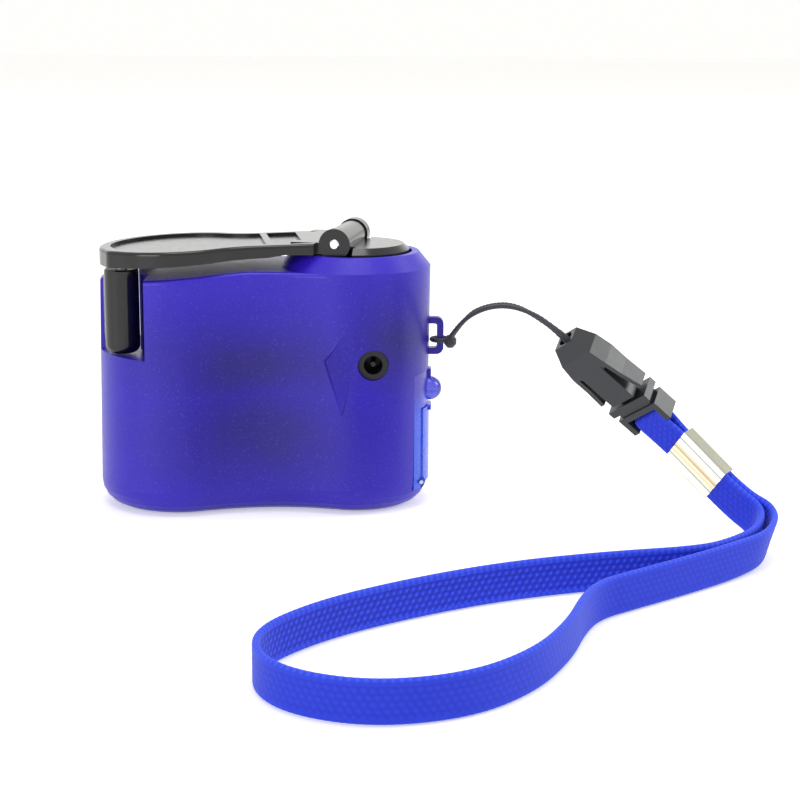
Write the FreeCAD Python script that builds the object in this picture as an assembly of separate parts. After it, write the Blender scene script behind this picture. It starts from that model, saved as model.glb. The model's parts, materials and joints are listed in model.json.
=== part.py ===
import FreeCAD, Part
import math
import os

# Hand crank phone charger: a waisted clamshell body with a folding crank on
# its lid, a step-up gear train, a small generator, a USB port under a flap, a
# torch LED and a wrist strap. Millimetres, +Z up. The origin is on the flat
# base, X runs along the body, and -Y is the face with the charging socket.

V = FreeCAD.Vector
X, Y, Z = V(1, 0, 0), V(0, 1, 0), V(0, 0, 1)

# ---------------------------------------------------------------- dimensions
# Body plan: two round lobes joined by waist arcs
HUB_X = 17.5          # crank axis, centre of the right lobe
LOBE_X = -19.1        # centre of the left lobe
FAR_LEFT = LOBE_X - 25.9      # beyond the body, for cutting shapes
BELOW, ABOVE = -10.0, 80.0
LOBE_R_BASE = 16.9    # the left lobe narrows upwards
LOBE_R_TOP = 16.05
HEAD_R_BASE = 14.9    # the right lobe widens upwards
HEAD_R_TOP = 15.5
WAIST_HALF = 12.6     # half depth of the body at the waist
WALL = 1.8
BASE_ROUND = 5.0      # round between the base and the sides
BASE_ROUND_LEAST = 0.8
LID_EDGE_ROUND = 0.9

# Body heights
CREASE_Z = 49.8       # foot of the collar
LID_LOW_Z = CREASE_Z - 1.5    # lid height at LID_LOW_X, from where it climbs
LID_LOW_X = LOBE_X - 4.9
LID_SLOPE = 4.3       # degrees
CEILING_Z = CREASE_Z - 3.4    # underside of the lid
RIM_Z = CREASE_Z + 2.95       # top of the collar
RIM_R = HEAD_R_TOP - 2.4
WELL_R = RIM_R - 1.4          # round well inside the collar
WELL_FLOOR_Z = CEILING_Z + WALL
SHAFT_R = 2.0
BUSH_R = SHAFT_R + 1.4

SPLIT_Y = -4.2        # joint plane between the two shells
LIP = 0.8             # thickness of the rear shell's locating lip
LIP_REACH = 1.4
FIT = 0.1             # loose fit between moulded pieces
RUN = 0.05            # radial play of a shaft in its hole

# Gear plates
LOWER_PLATE_Z = 29.4
UPPER_PLATE_Z = CEILING_Z - 3.2
PLATE = 1.2

# Knob, and its recess at the near left corner
KNOB_R = 3.5
KNOB_X = LOBE_X - 14.15 + KNOB_R
KNOB_Y = SPLIT_Y - 0.5 - KNOB_R
KNOB_ORBIT = math.hypot(KNOB_X - HUB_X, KNOB_Y)
KNOB_CLEAR = 0.3          # room round the knob where it passes behind the recess
KNOB_SIDE_ROOM = 1.75     # and beside it in the recess
RECESS_X = KNOB_X + KNOB_R + KNOB_SIDE_ROOM
RECESS_WALL = 1.5
RECESS_FLOOR_Z = LOWER_PLATE_Z + PLATE + RECESS_WALL      # at the inner wall
RECESS_FALL = 0.6         # the floor rises by this much to the left
FIN_END_Y = 3.0           # the wall outside the knob's track ends here
KNOB_TOP_Z = CREASE_Z + 0.15
KNOB_FOOT_Z = RECESS_FLOOR_Z + RECESS_FALL
KNOB_ROUND = 1.7
KNOB_PIN_R = 1.2
KNOB_END = 1.8            # closed end of the knob
KNOB_COVER = 0.6          # of the arm over the axle

# Crank hub and its hinge
HUB_R = WELL_R - 0.6
HUB_Z = WELL_FLOOR_Z + 0.7
HUB_DISC = 2.4
HUB_PLATE_TOP = RIM_Z + 1.55
HUB_PLATE_BEVEL = 1.2
HINGE_SKEW = 10.5         # degrees between the hinge line and Y
HINGE_BACK = 2.2          # hinge line this far left of the crank axis
HINGE_Z = RIM_Z + 2.35
BARREL_R = 2.9
BARREL_HALF = 7.2
EAR_R = BARREL_R + 0.3
EAR_IN = BARREL_HALF + 0.4
EAR_OUT = EAR_IN + 3.0
PIN_R = 1.0
PIN_HALF = EAR_OUT + 0.35

# Crank arm
ARM_R = LOBE_R_TOP + 0.35              # paddle radius about the left lobe
ARM_X = LOBE_X + 0.3
NECK_HALF = EAR_OUT + 0.8
NECK_END_X = HUB_X - 8.9
ARM_SLOPE_X = (LOBE_X - 17.0, HUB_X - 15.1)   # where these heights are
ARM_TOP_LEFT_Z = RIM_Z + 0.8      # top surface at the left
ARM_TOP_NECK_Z = RIM_Z + 2.4      # and at the collar
ARM_LEFT_THICK = 3.35
ARM_OVER_RIM = 0.4        # gap between the arm and the collar
ARM_RIM = 2.3             # width of the raised border
ARM_POCKET = 0.6          # depth of the sunk panels
ARM_RIB = 1.4             # slanting rib between the two panels
RIB_X = -0.9
RIB_SLANT = 4.8           # how far the rib runs to the right over the arm's width
SECOND_PANEL_X = 5.9
ARM_EDGE_ROUND = 0.7
NECK_HOLLOW = 12.0        # radius of the hollow between paddle and neck
KNOB_BOSS_R = KNOB_R - 0.2

# Gear train, module and teeth from the crank to the generator
PRESSURE = 20.0
CRANK_TEETH, CRANK_MODULE = 30, 0.8
SECOND_PINION_TEETH = 10
SECOND_WHEEL_TEETH, SECOND_MODULE = 26, 0.6
THIRD_PINION_TEETH = 10
THIRD_WHEEL_TEETH, THIRD_MODULE = 36, 0.5
MOTOR_PINION_TEETH = 10
BACKLASH = 0.12
AXLE_R = 1.0
SLEEVE_R = 1.8            # spacer collars of gears and axles
GEAR_BOSS_R = 4.0
END_PLAY = 0.2            # between a gear's sleeve and a gear plate
PLATE_GAP = 0.3           # between the gear plates and the shells
SLOT_WIDE = 0.4           # slot in a screw's head
PILLAR_ACROSS = 2.6       # across the flats
TENON = 1.4               # square ends of the pillars
JOURNAL_R = 1.2
SHAFT_TOP_Z = HINGE_Z - 1.7
GROOVE_R = 0.8
CLIP_R = 2.4
CLIP_Z = (LOWER_PLATE_Z - 0.7, LOWER_PLATE_Z - 0.15)

# Generator
MOTOR_R = 12.0
MOTOR_BASE_Z = 4.6
CAN_WALL = 0.8
MOTOR_BOSS_R = 3.0
MAGNET_IN_R = MOTOR_R - 2.3
ROTOR_R = MAGNET_IN_R - 0.4
ROTOR_Z = (11.0, 24.0)
ROTOR_SHAFT_R = 1.0
ROTOR_HUB_R = 2.6
POLE_SHOE = 1.8           # thickness of the poles' ends
POLE_HALF = 1.6
COIL_HALF = 3.3
COMMUTATOR_R = 2.4
BRUSH = (2.6, 3.2)        # inner and outer face of a brush
CAP_PLATE = 1.0           # plate that closes the can
CAP_FOOT_R = 2.5

# Shell screws: (x, z)
SCREWS = [(0.0, 8.0), (0.0, 23.0), (LOBE_X - 1.9, CREASE_Z - 8.8)]
SCREW_R = 0.98
SCREW_HEAD_R = 1.85
POST_R = 2.2
HEAD_POST_R = 2.9
POST_FACE_Y = 2.0
SEAT_Y = 5.0

# Right end: panel, flap, USB socket, LED
PANEL_R = 15.1
PANEL_THICK = 1.2
PANEL_LEDGE = 0.9         # how far the shells lap behind the panel
PANEL_HALF_ANGLE = 36.0
PANEL_Z = (3.8, 28.1)
FLAP_R = 15.4
FLAP_THICK = 1.35
FLAP_HALF = 6.2
FLAP_Z = (4.9, 20.6)
FLAP_PIN_X, FLAP_PIN_Z = 31.3, 5.25
FLAP_PIN_R = 0.4
KNUCKLE_R = 0.85
KNUCKLE_IN = 3.3
USB_WIDE, USB_HIGH, USB_DEEP = 13.1, 5.7, 14.0
USB_SHEET = 0.35
USB_Z = 4.9
USB_MOUTH_X = 30.95
LED_Z = 23.75
LED_R = 2.5
LED_DOME_X = 33.0
LED_FOOT_X = 29.8         # back of the LED's flange
LED_FLANGE = 0.95
LEAD_HALF = 0.25          # half width of the LED's square leads
LEAD_BEND_X = 27.5
BOARD_Y = 3.0
BOARD = 1.2
BOARD_X = (9.0, 28.6)
BOARD_Z = (3.8, 28.8)
CAP_X, CAP_Z = 13.0, 21.5     # storage capacitor
CAP_R, CAP_LENGTH = 3.0, 7.6
DIODE_R, DIODE_LENGTH, DIODE_PITCH = 0.9, 4.2, 1.9
CHIP_X, CHIP_Z, CHIP_HIGH = (13.5, 18.5), (17.0, 21.0), 1.6

# DC socket in the near face
JACK_X, JACK_Z = 21.3, 31.3
JACK_HOLE_R = 3.1
JACK_BORE_R = 1.9
JACK_HALF = 3.2           # half width of the socket's block
JACK_FRONT_Y, JACK_BACK_Y = -14.2, -4.0
JACK_BORE_END_Y = -5.0
JACK_PIN_R = 0.5

# Lanyard eye on the right end
EYE_Z = 35.0
EYE_HEIGHT = 7.8
EYE_OUT_X = 35.8
EYE_BAR = 1.35
EYE_HALF_DEPTH = 1.0

# Wrist strap: cord, buckle, crimped clip and flat strap
CORD_D = 1.0
STRAP_WIDE = 7.2
STRAP_THICK = 1.3
FLOOR_GAP = 0.15
BUCKLE_START, BUCKLE_END = V(58.7, -26.9, 39.2), V(77.3, -22.7, 22.4)
BUCKLE_THICK = 5.2
SOCKET_HALF = 4.6         # half width at the shoulders
SOCKET_NOSE_HALF = 2.3    # half width at the cord end
SOCKET_CORE_HALF = 2.9    # half width between the release levers
SOCKET_SHOULDER_X = 7.5
SOCKET_MOUTH_X = 17.1
LEVER_END_X = 16.2
LEVER_OUT = 5.7           # half width over the levers' free ends
LEVER_THICK = 0.9
FLANGE_X = (17.9, 19.5)
PLUG_HALF = 5.0
PLUG_FRAME_X = 20.7
PLUG_RAIL = 1.3           # width of the frame's rails
BAR_R = 0.95
TONGUE_X, TONGUE_HALF, TONGUE_THICK = 11.0, 1.9, 2.4
CORD_HOLE_R, CORD_HOLE = 1.6, 5.0
CLIP_START, CLIP_END = V(81.6, -25.5, 18.2), V(89.0, -30.5, 11.1)
CLIP_WIDE, CLIP_THICK = 8.2, 3.4
ACROSS_STRAP = V(0.60, -0.61, 0.51)   # way that buckle and clip turn their width
KNOT_AT = V(37.2, -1.35, 33.9)
KNOT_R = 1.3
HITCH_R = 1.75            # centre line of the hitch round the eye's bar

# Routes of the free cords, chosen by hand
CORD_A = [(37.0, -1.9, 34.6), (39.1, -5.1, 38.6), (43.3, -10.7, 42.4),
          (48.1, -16.8, 44.1), (52.9, -22.9, 43.4), (56.6, -26.7, 41.2),
          (60.0, -27.1, 38.7)]
CORD_B = [(37.3, -0.7, 34.4), (40.3, -3.9, 39.8), (44.6, -9.9, 43.0),
          (49.4, -16.2, 44.2), (54.0, -22.0, 42.3), (57.3, -25.5, 40.2),
          (59.2, -26.3, 38.1)]
STRAP = [(92.65, -43.5), (91.4, -52.4), (80.6, -58.4), (63.2, -63.0),
         (45.5, -69.0), (28.5, -78.6), (12.5, -91.0), (2.8, -105.5),
         (6.5, -120.0), (20.5, -127.3), (36.0, -123.9), (46.8, -113.3),
         (52.8, -99.5), (56.8, -86.6), (65.4, -75.4), (77.5, -65.4),
         (92.6, -55.4), (94.05, -43.5)]
NECK_AT = V(93.35, -43.5, FLOOR_GAP + STRAP_WIDE / 2)


# ------------------------------------------------------------------- helpers
def cyl(r, z0, z1, x=0.0, y=0.0):
    return Part.makeCylinder(r, z1 - z0, V(x, y, z0))


def through(r, x, y=0.0):
    """A cutter for a hole right through a piece, along Z."""
    return cyl(r, BELOW, ABOVE, x, y)


def rod(start, direction, r, length):
    return Part.makeCylinder(r, length, start, direction)


def box(x0, x1, y0, y1, z0, z1):
    return Part.makeBox(x1 - x0, y1 - y0, z1 - z0, V(x0, y0, z0))


def prism(points, direction):
    return Part.Face(Part.makePolygon(points + points[:1])).extrude(direction)


def frame(origin, along, up):
    """Placement that puts local X on along, Y on up and Z across both."""
    along.normalize()
    across = along.cross(up)
    across.normalize()
    up = across.cross(along)
    return FreeCAD.Placement(FreeCAD.Matrix(
        along.x, up.x, across.x, origin.x, along.y, up.y, across.y, origin.y,
        along.z, up.z, across.z, origin.z, 0, 0, 0, 1))


def placed(shape, placement):
    shape = shape.copy()
    shape.transformShape(placement.toMatrix())
    return shape


def fused(first, *rest):
    return first.multiFuse([s for s in rest]).removeSplitter()


def at_height(base, top, z):
    """A size that runs evenly from the base to the crease, at height z."""
    return base + (top - base) * z / CREASE_Z


def hinge_point(across, along, z):
    """A point given from the hinge line: across it (right is +) and along it."""
    skew = math.radians(HINGE_SKEW)
    u = V(math.sin(skew), math.cos(skew), 0)
    n = V(math.cos(skew), -math.sin(skew), 0)
    return V(HUB_X, 0, z) + n * (across - HINGE_BACK) + u * along


HINGE_DIR = hinge_point(0, 1, 0) - hinge_point(0, 0, 0)


def hinge_box(a0, a1, s0, s1, z0, z1):
    """A box square to the hinge line."""
    corners = [hinge_point(a, s, z0)
               for a, s in ((a0, s0), (a1, s0), (a1, s1), (a0, s1))]
    return prism(corners, V(0, 0, z1 - z0))


# ---------------------------------------------------------------- body shape
def tangent_angles():
    """Where waist arcs leave the two lobes at half height: angles from the X axis."""
    z = CREASE_Z / 2
    r_left = at_height(LOBE_R_BASE, LOBE_R_TOP, z)
    r_right = at_height(HEAD_R_BASE, HEAD_R_TOP, z)
    low, high = 1.0, 2000.0
    for _ in range(60):
        r = (low + high) / 2
        left = math.sqrt((r_left - WAIST_HALF) * (r_left + WAIST_HALF + 2 * r))
        right = math.sqrt((r_right - WAIST_HALF) * (r_right + WAIST_HALF + 2 * r))
        low, high = (r, high) if left + right < HUB_X - LOBE_X else (low, r)
    return math.atan2(WAIST_HALF + r, left), math.atan2(WAIST_HALF + r, right)


LEFT_TANGENT, RIGHT_TANGENT = tangent_angles()


def waist_curve(left, right, side, half):
    """From lobe to lobe, tangent to both, and half deep at its shallowest."""
    along_left = V(math.sin(LEFT_TANGENT), -side * math.cos(LEFT_TANGENT), 0)
    along_right = V(math.sin(RIGHT_TANGENT), side * math.cos(RIGHT_TANGENT), 0)
    drop = (abs(left.y) + abs(right.y)) / 2 - half
    fall = 3 / 8 * (math.cos(LEFT_TANGENT) + math.cos(RIGHT_TANGENT))
    reach = drop / fall
    curve = Part.BezierCurve()
    curve.setPoles([left, left + along_left * reach, right - along_right * reach, right])
    return curve.toShape()


def peanut(inset, z):
    """The body's outline at height z, moved in by inset: two arcs and the waist."""
    r_left = at_height(LOBE_R_BASE, LOBE_R_TOP, z) - inset
    r_right = at_height(HEAD_R_BASE, HEAD_R_TOP, z) - inset

    def on(x, radius, angle):
        return V(x + radius * math.cos(angle), radius * math.sin(angle), z)

    ln, lf = on(LOBE_X, r_left, -LEFT_TANGENT), on(LOBE_X, r_left, LEFT_TANGENT)
    rn = on(HUB_X, r_right, RIGHT_TANGENT - math.pi)
    rf = on(HUB_X, r_right, math.pi - RIGHT_TANGENT)
    half = WAIST_HALF - inset
    return Part.Wire([Part.Arc(rn, V(HUB_X + r_right, 0, z), rf).toShape(),
                      waist_curve(lf, rf, 1, half),
                      Part.Arc(lf, V(LOBE_X - r_left, 0, z), ln).toShape(),
                      waist_curve(ln, rn, -1, half)])


def body_solid(inset, top_z, bands):
    """The waisted body, drafted, its base edge rounded in narrow bands."""
    radius = max(BASE_ROUND - inset, BASE_ROUND_LEAST)
    turns = [math.pi / 2 * i / bands for i in range(bands + 1)]
    wires = [peanut(inset + radius * (1 - math.sin(a)),
                    inset + radius * (1 - math.cos(a))) for a in turns]
    return Part.makeLoft(wires + [peanut(inset, top_z)], True, True)


def above_lid():
    """Everything above the sloping lid, left of the collar."""
    slope = math.tan(math.radians(LID_SLOPE))
    left, right = -60.0, LID_LOW_X + (CREASE_Z - LID_LOW_Z) / slope
    return prism([V(left, -40, LID_LOW_Z + (left - LID_LOW_X) * slope),
                  V(right, -40, CREASE_Z), V(right, -40, ABOVE),
                  V(left, -40, ABOVE)], V(0, 80, 0))


def recess_prism(grow, y0, y1, right):
    """Room above the recess's sloping floor, grown by grow to the right and down."""
    far = FAR_LEFT
    reach = LOBE_X - LOBE_R_BASE - RECESS_X
    rise = RECESS_FALL / reach * (far - RECESS_X)
    z = RECESS_FLOOR_Z - grow
    return prism([V(far, y0, z + rise), V(RECESS_X + grow, y0, z), V(right, y0, z),
                  V(right, y0, ABOVE), V(far, y0, ABOVE)], V(0, y1 - y0, 0))


def recess_space(grow=0.0):
    """The open space at the near left corner that the knob folds into."""
    return recess_prism(grow, -40, SPLIT_Y, RECESS_X + grow)


def knob_track(grow=0.0):
    """The recess's way out at the back, round the crank axis, so that the
    crank can turn with its arm folded. A fin of the body's side is left
    outside the near part of it.
    """
    room = KNOB_R + KNOB_CLEAR + grow
    inside = cyl(KNOB_ORBIT - room, -10, 80, HUB_X)
    ring = cyl(KNOB_ORBIT + room, -9, 79, HUB_X)
    way = recess_prism(grow, SPLIT_Y - 0.01, 40, HUB_X - 20)
    back = way.common(box(-60, 60, FIN_END_Y, 60, -9, 79))
    return way.common(ring).fuse(back).cut(inside)


def sector(r_out, r_in, half_angle, z0, z1):
    """Part of a tube about the crank axis, centred on +X."""
    a = math.radians(half_angle)
    tube = cyl(r_out, z0, z1, HUB_X).cut(cyl(r_in, z0 - 1, z1 + 1, HUB_X))
    far = 60.0
    wedge = prism([V(HUB_X, 0, z0), V(HUB_X + far * math.cos(a), -far * math.sin(a), z0),
                   V(HUB_X + far * math.cos(a), far * math.sin(a), z0)],
                  V(0, 0, z1 - z0))
    return tube.common(wedge)


def flap_relief():
    """Room under the flap for its foot to swing out."""
    foot = box(FLAP_PIN_X - 0.35, 40, -FLAP_HALF - 0.25, FLAP_HALF + 0.25,
               FLAP_PIN_Z - 1.9, FLAP_Z[0] + 0.4)
    knuckles = rod(V(FLAP_PIN_X, -FLAP_HALF - 0.25, FLAP_PIN_Z), Y,
                   KNUCKLE_R + 0.2, 2 * FLAP_HALF + 0.5)
    return foot.fuse(knuckles)


def collar():
    """Cone round the crank's well, on the unrounded top of the head lobe."""
    foot = CREASE_Z - 1.5 * LID_EDGE_ROUND
    band = Part.makeCone(at_height(HEAD_R_BASE, HEAD_R_TOP, foot), HEAD_R_TOP,
                         CREASE_Z - foot, V(HUB_X, 0, foot))
    return band.fuse(Part.makeCone(HEAD_R_TOP, RIM_R, RIM_Z - CREASE_Z,
                                   V(HUB_X, 0, CREASE_Z)))


def screw_posts_front():
    posts = []
    for x, z in SCREWS:
        posts.append(rod(V(x, -18, z), Y, POST_R, 18 + POST_FACE_Y))
    return posts


def shells():
    """Front and rear shells, moulded hollow with posts, lip and collar."""
    outer = body_solid(0.0, CREASE_Z, 5).cut(above_lid())
    lid_edges = [e for e in outer.Edges
                 if e.BoundBox.ZMin > LID_LOW_Z - 2.5 and e.BoundBox.XMax < 2.5
                 and e.BoundBox.XMin < LOBE_X - 3 and e.Length > 5]
    outer = outer.makeFillet(LID_EDGE_ROUND, lid_edges)
    outer = outer.fuse(collar())
    outer = outer.cut(cyl(WELL_R, WELL_FLOOR_Z, ABOVE, HUB_X))
    cavity = body_solid(WALL, CEILING_Z, 2)
    window = sector(40, PANEL_R - PANEL_THICK - FIT, PANEL_HALF_ANGLE + 0.4,
                    PANEL_Z[0] - FIT, PANEL_Z[1] + FIT)
    ledge_angle = math.degrees(PANEL_LEDGE / PANEL_R)
    window = window.fuse(sector(40, 10, PANEL_HALF_ANGLE - ledge_angle,
                                PANEL_Z[0] + PANEL_LEDGE,
                                PANEL_Z[1] - PANEL_LEDGE))
    bush_hole = cyl(BUSH_R, CEILING_Z - 5, WELL_FLOOR_Z + 1, HUB_X)
    near = box(-60, 60, -60, SPLIT_Y, -10, 80)
    far = box(-60, 60, SPLIT_Y, 60, -10, 80)

    # front shell with the walls of the knob recess
    recess_walls = outer.common(recess_space(RECESS_WALL))
    inside = outer.common(cavity)
    posts = [p.common(inside) for p in screw_posts_front()]
    front = outer.common(near).cut(cavity).fuse([recess_walls] + [
        p.common(near) for p in posts])
    front = front.cut(recess_space())
    hole = rod(V(JACK_X, -40, JACK_Z), Y, JACK_HOLE_R, 30)
    pilots = [rod(V(x, -9.5, z), Y, SCREW_R, 40) for x, z in SCREWS]
    front = front.cut([hole, window, bush_hole, flap_relief()] + pilots)
    front = front.fuse(arrow_pad().cut(cavity))

    # rear shell with the walls of the knob's track, the lip, posts and eye
    back_wall = inside.common(recess_space(RECESS_WALL)
                              .translated(V(0, RECESS_WALL, 0)))
    track_walls = inside.common(knob_track(RECESS_WALL))
    walls = back_wall.fuse(track_walls).common(far)
    head_posts = []
    for x, z in SCREWS:
        head_posts.append(rod(V(x, POST_FACE_Y, z), Y, HEAD_POST_R, 18)
                          .common(inside))
    rear = outer.common(far).cut(cavity).fuse([walls] + head_posts)
    rear = rear.cut(knob_track())
    lip = cavity.cut(body_solid(WALL + LIP, CEILING_Z - LIP, 2))
    lip = lip.common(box(-60, 60, SPLIT_Y - LIP_REACH, SPLIT_Y, 0,
                         LOWER_PLATE_Z - PLATE_GAP))
    lip = lip.cut([recess_space(RECESS_WALL + 0.5).translated(V(0, 1, 0)),
                   box(10, 40, -60, 60, -5, CEILING_Z)])
    lip = lip.fuse(lip_root(cavity))
    rear = rear.fuse(lip)
    rear = rear.cut([window, bush_hole, flap_relief()])
    for x, z in SCREWS:
        rear = rear.cut([rod(V(x, POST_FACE_Y - 1, z), Y, SCREW_R + 0.1, 20),
                         rod(V(x, SEAT_Y, z), Y, SCREW_HEAD_R + FIT, 30)])
    rear = rear.fuse(eye())
    return front, rear


def lip_root(cavity):
    """Ties the lip to the rear shell's wall just behind the joint plane."""
    band = cavity.cut(body_solid(WALL + LIP, CEILING_Z - LIP, 2))
    return band.common(box(-60, 10, SPLIT_Y, SPLIT_Y + LIP_REACH, 0,
                           LOWER_PLATE_Z - PLATE_GAP))


def arrow_pad():
    """Raised three-cornered thumb pad on the near face."""
    face_y = -(at_height(HEAD_R_BASE, HEAD_R_TOP, JACK_Z) - 0.05)
    pad = [V(15.7, face_y, 37.7), V(11.8, face_y, 32.1), V(15.1, face_y, 21.3)]
    return prism(pad, V(0, 2.6, 0))


def eye():
    """Lanyard eye: a rounded loop standing on the right end."""
    x0 = HUB_X + HEAD_R_BASE - 0.9
    z0, z1 = EYE_Z - EYE_HEIGHT / 2, EYE_Z + EYE_HEIGHT / 2
    d = EYE_HALF_DEPTH
    outer = box(x0, EYE_OUT_X, -d, d, z0, z1)
    corners = [e for e in outer.Edges if abs(e.Length - 2 * d) < 1e-6
               and e.BoundBox.XMin > EYE_OUT_X - 0.01]
    outer = outer.makeFillet(1.5, corners)
    hole = box(HUB_X + HEAD_R_TOP - 0.55, EYE_OUT_X - EYE_BAR, -d - 1, d + 1,
               z0 + EYE_BAR, z1 - EYE_BAR)
    upright = [e for e in hole.Edges if abs(e.Length - 2 * d - 2) < 1e-6
               and e.BoundBox.XMin > EYE_OUT_X - EYE_BAR - 0.01]
    return outer.cut(hole.makeFillet(0.5, upright))


# ------------------------------------------------------------------ fittings
def crank_bush():
    bush = cyl(BUSH_R, CEILING_Z, WELL_FLOOR_Z, HUB_X)
    flange = cyl(BUSH_R + 1.2, WELL_FLOOR_Z, WELL_FLOOR_Z + 0.5, HUB_X)
    return fused(bush, flange).cut(through(SHAFT_R + RUN, HUB_X))


def end_panel():
    """Curved end panel with its USB window, LED hole and grip lug."""
    panel = sector(PANEL_R, PANEL_R - PANEL_THICK, PANEL_HALF_ANGLE, *PANEL_Z)
    lug = sector(PANEL_R + 0.7, PANEL_R - 0.2, 5.0, PANEL_Z[1] - 2.0,
                 PANEL_Z[1])
    panel = panel.fuse(lug)
    flap_window = box(20, 60, -FLAP_HALF - 0.15, FLAP_HALF + 0.15,
                      FLAP_Z[0] - 0.5, FLAP_Z[1] + 0.15)
    led_hole = rod(V(20, 0, LED_Z), X, LED_R + FIT, 30)
    pins = rod(V(FLAP_PIN_X, -8.0, FLAP_PIN_Z), Y, FLAP_PIN_R, 16)
    return panel.cut([flap_window, led_hole, flap_relief(), pins])


def usb_flap():
    """Curved cover over the USB port, on two knuckles at its foot."""
    plate = cyl(FLAP_R, *FLAP_Z, HUB_X).cut(
        cyl(FLAP_R - FLAP_THICK, FLAP_Z[0] - 1, FLAP_Z[1] + 1, HUB_X))
    plate = plate.common(box(HUB_X + 5, 60, -FLAP_HALF, FLAP_HALF, *FLAP_Z))
    knuckles = [rod(V(FLAP_PIN_X, s * KNUCKLE_IN, FLAP_PIN_Z), Y * s,
                    KNUCKLE_R, FLAP_HALF - KNUCKLE_IN) for s in (-1, 1)]
    nail_lip = cyl(FLAP_R + 0.5, FLAP_Z[1] - 1.1, FLAP_Z[1] - 0.1, HUB_X).cut(
        cyl(FLAP_R - 0.5, FLAP_Z[1] - 2, FLAP_Z[1] + 1, HUB_X)).common(
        box(HUB_X + 5, 60, -2.4, 2.4, 0, 30))
    flap = plate.fuse(knuckles + [nail_lip])
    bore = rod(V(FLAP_PIN_X, -10, FLAP_PIN_Z), Y, FLAP_PIN_R + RUN, 20)
    return flap.cut(bore).removeSplitter()


def flap_pins():
    length = FLAP_HALF - KNUCKLE_IN + 1.4
    return Part.makeCompound([
        rod(V(FLAP_PIN_X, s * KNUCKLE_IN, FLAP_PIN_Z), Y * s, FLAP_PIN_R,
            length) for s in (-1, 1)])


def usb_socket():
    """Folded sheet shell of a type A socket, on edge against the board."""
    y0, y1 = BOARD_Y - USB_HIGH, BOARD_Y
    x0, x1 = USB_MOUTH_X - USB_DEEP, USB_MOUTH_X
    t = USB_SHEET
    shell = box(x0, x1, y0, y1, USB_Z, USB_Z + USB_WIDE).cut(
        box(x0 + t, x1 + 1, y0 + t, y1 - t, USB_Z + t, USB_Z + USB_WIDE - t))
    tongue = box(x0 + t, x1 - 1.2, y1 - t - 2.9, y1 - t - 1.0, USB_Z + 1.1,
                 USB_Z + USB_WIDE - 1.1).fuse(
        box(x0 + t, x0 + 3.5, y0 + t, y1 - t, USB_Z + t,
            USB_Z + USB_WIDE - t))
    pitch = 2.2
    contacts = []
    for i in range(4):
        z = USB_Z + USB_WIDE / 2 + (i - 1.5) * pitch
        contacts.append(box(x0 + 3.5, x1 - 2.0, y1 - t - 3.1, y1 - t - 2.9,
                            z - 0.5, z + 0.5))
    return shell, tongue.removeSplitter(), Part.makeCompound(contacts)


def led():
    seat_x = LED_FOOT_X + LED_FLANGE
    lens = rod(V(seat_x, 0, LED_Z), X, LED_R, LED_DOME_X - seat_x)
    dome = Part.makeSphere(LED_R, V(LED_DOME_X, 0, LED_Z))
    flange = rod(V(LED_FOOT_X, 0, LED_Z), X, LED_R + 0.4, LED_FLANGE)
    dome = dome.common(box(LED_DOME_X, 60, -9, 9, 0, 60))
    return fused(lens, dome, flange)


def led_leads():
    """Two square leads, bent back to the board."""
    leads, h = [], LEAD_HALF
    for z in (LED_Z - 1.27, LED_Z + 1.27):
        leads.append(box(LEAD_BEND_X, LED_FOOT_X, -h, h, z - h, z + h).fuse(
            box(LEAD_BEND_X, LEAD_BEND_X + 2 * h, h, BOARD_Y, z - h, z + h)))
    return Part.makeCompound(leads)


def dc_jack():
    """Round charging socket with its centre pin, behind the near face."""
    inner_r = at_height(HEAD_R_BASE, HEAD_R_TOP, JACK_Z) - WALL
    reach = abs(JACK_X - HUB_X) + JACK_HALF
    wall_y = FIT - math.sqrt(inner_r ** 2 - reach ** 2)
    block = box(JACK_X - JACK_HALF, JACK_X + JACK_HALF, wall_y, JACK_BACK_Y,
                JACK_Z - 3.0, JACK_Z + 3.0)
    neck = rod(V(JACK_X, JACK_FRONT_Y, JACK_Z), Y, JACK_HOLE_R - FIT,
               wall_y - JACK_FRONT_Y)
    bore = rod(V(JACK_X, -20, JACK_Z), Y, JACK_BORE_R, 20 + JACK_BORE_END_Y)
    pin_y = JACK_FRONT_Y + 1.0
    pin = rod(V(JACK_X, pin_y, JACK_Z), Y, JACK_PIN_R, JACK_BORE_END_Y - pin_y)
    return fused(block, neck).cut(bore).fuse(pin)


def circuit_board():
    return box(*BOARD_X, BOARD_Y, BOARD_Y + BOARD, *BOARD_Z)


def board_parts():
    """Storage capacitor, three diodes and the regulator on the board."""
    cap = rod(V(CAP_X, BOARD_Y, CAP_Z), -Y, CAP_R, CAP_LENGTH)
    diodes = [rod(V(11.6 + DIODE_PITCH * i, BOARD_Y - DIODE_R, 6.0), Z, DIODE_R,
                  DIODE_LENGTH) for i in range(3)]
    back = BOARD_Y + BOARD
    chip = box(*CHIP_X, back, back + CHIP_HIGH, *CHIP_Z)
    return cap, Part.makeCompound(diodes), chip


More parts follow.
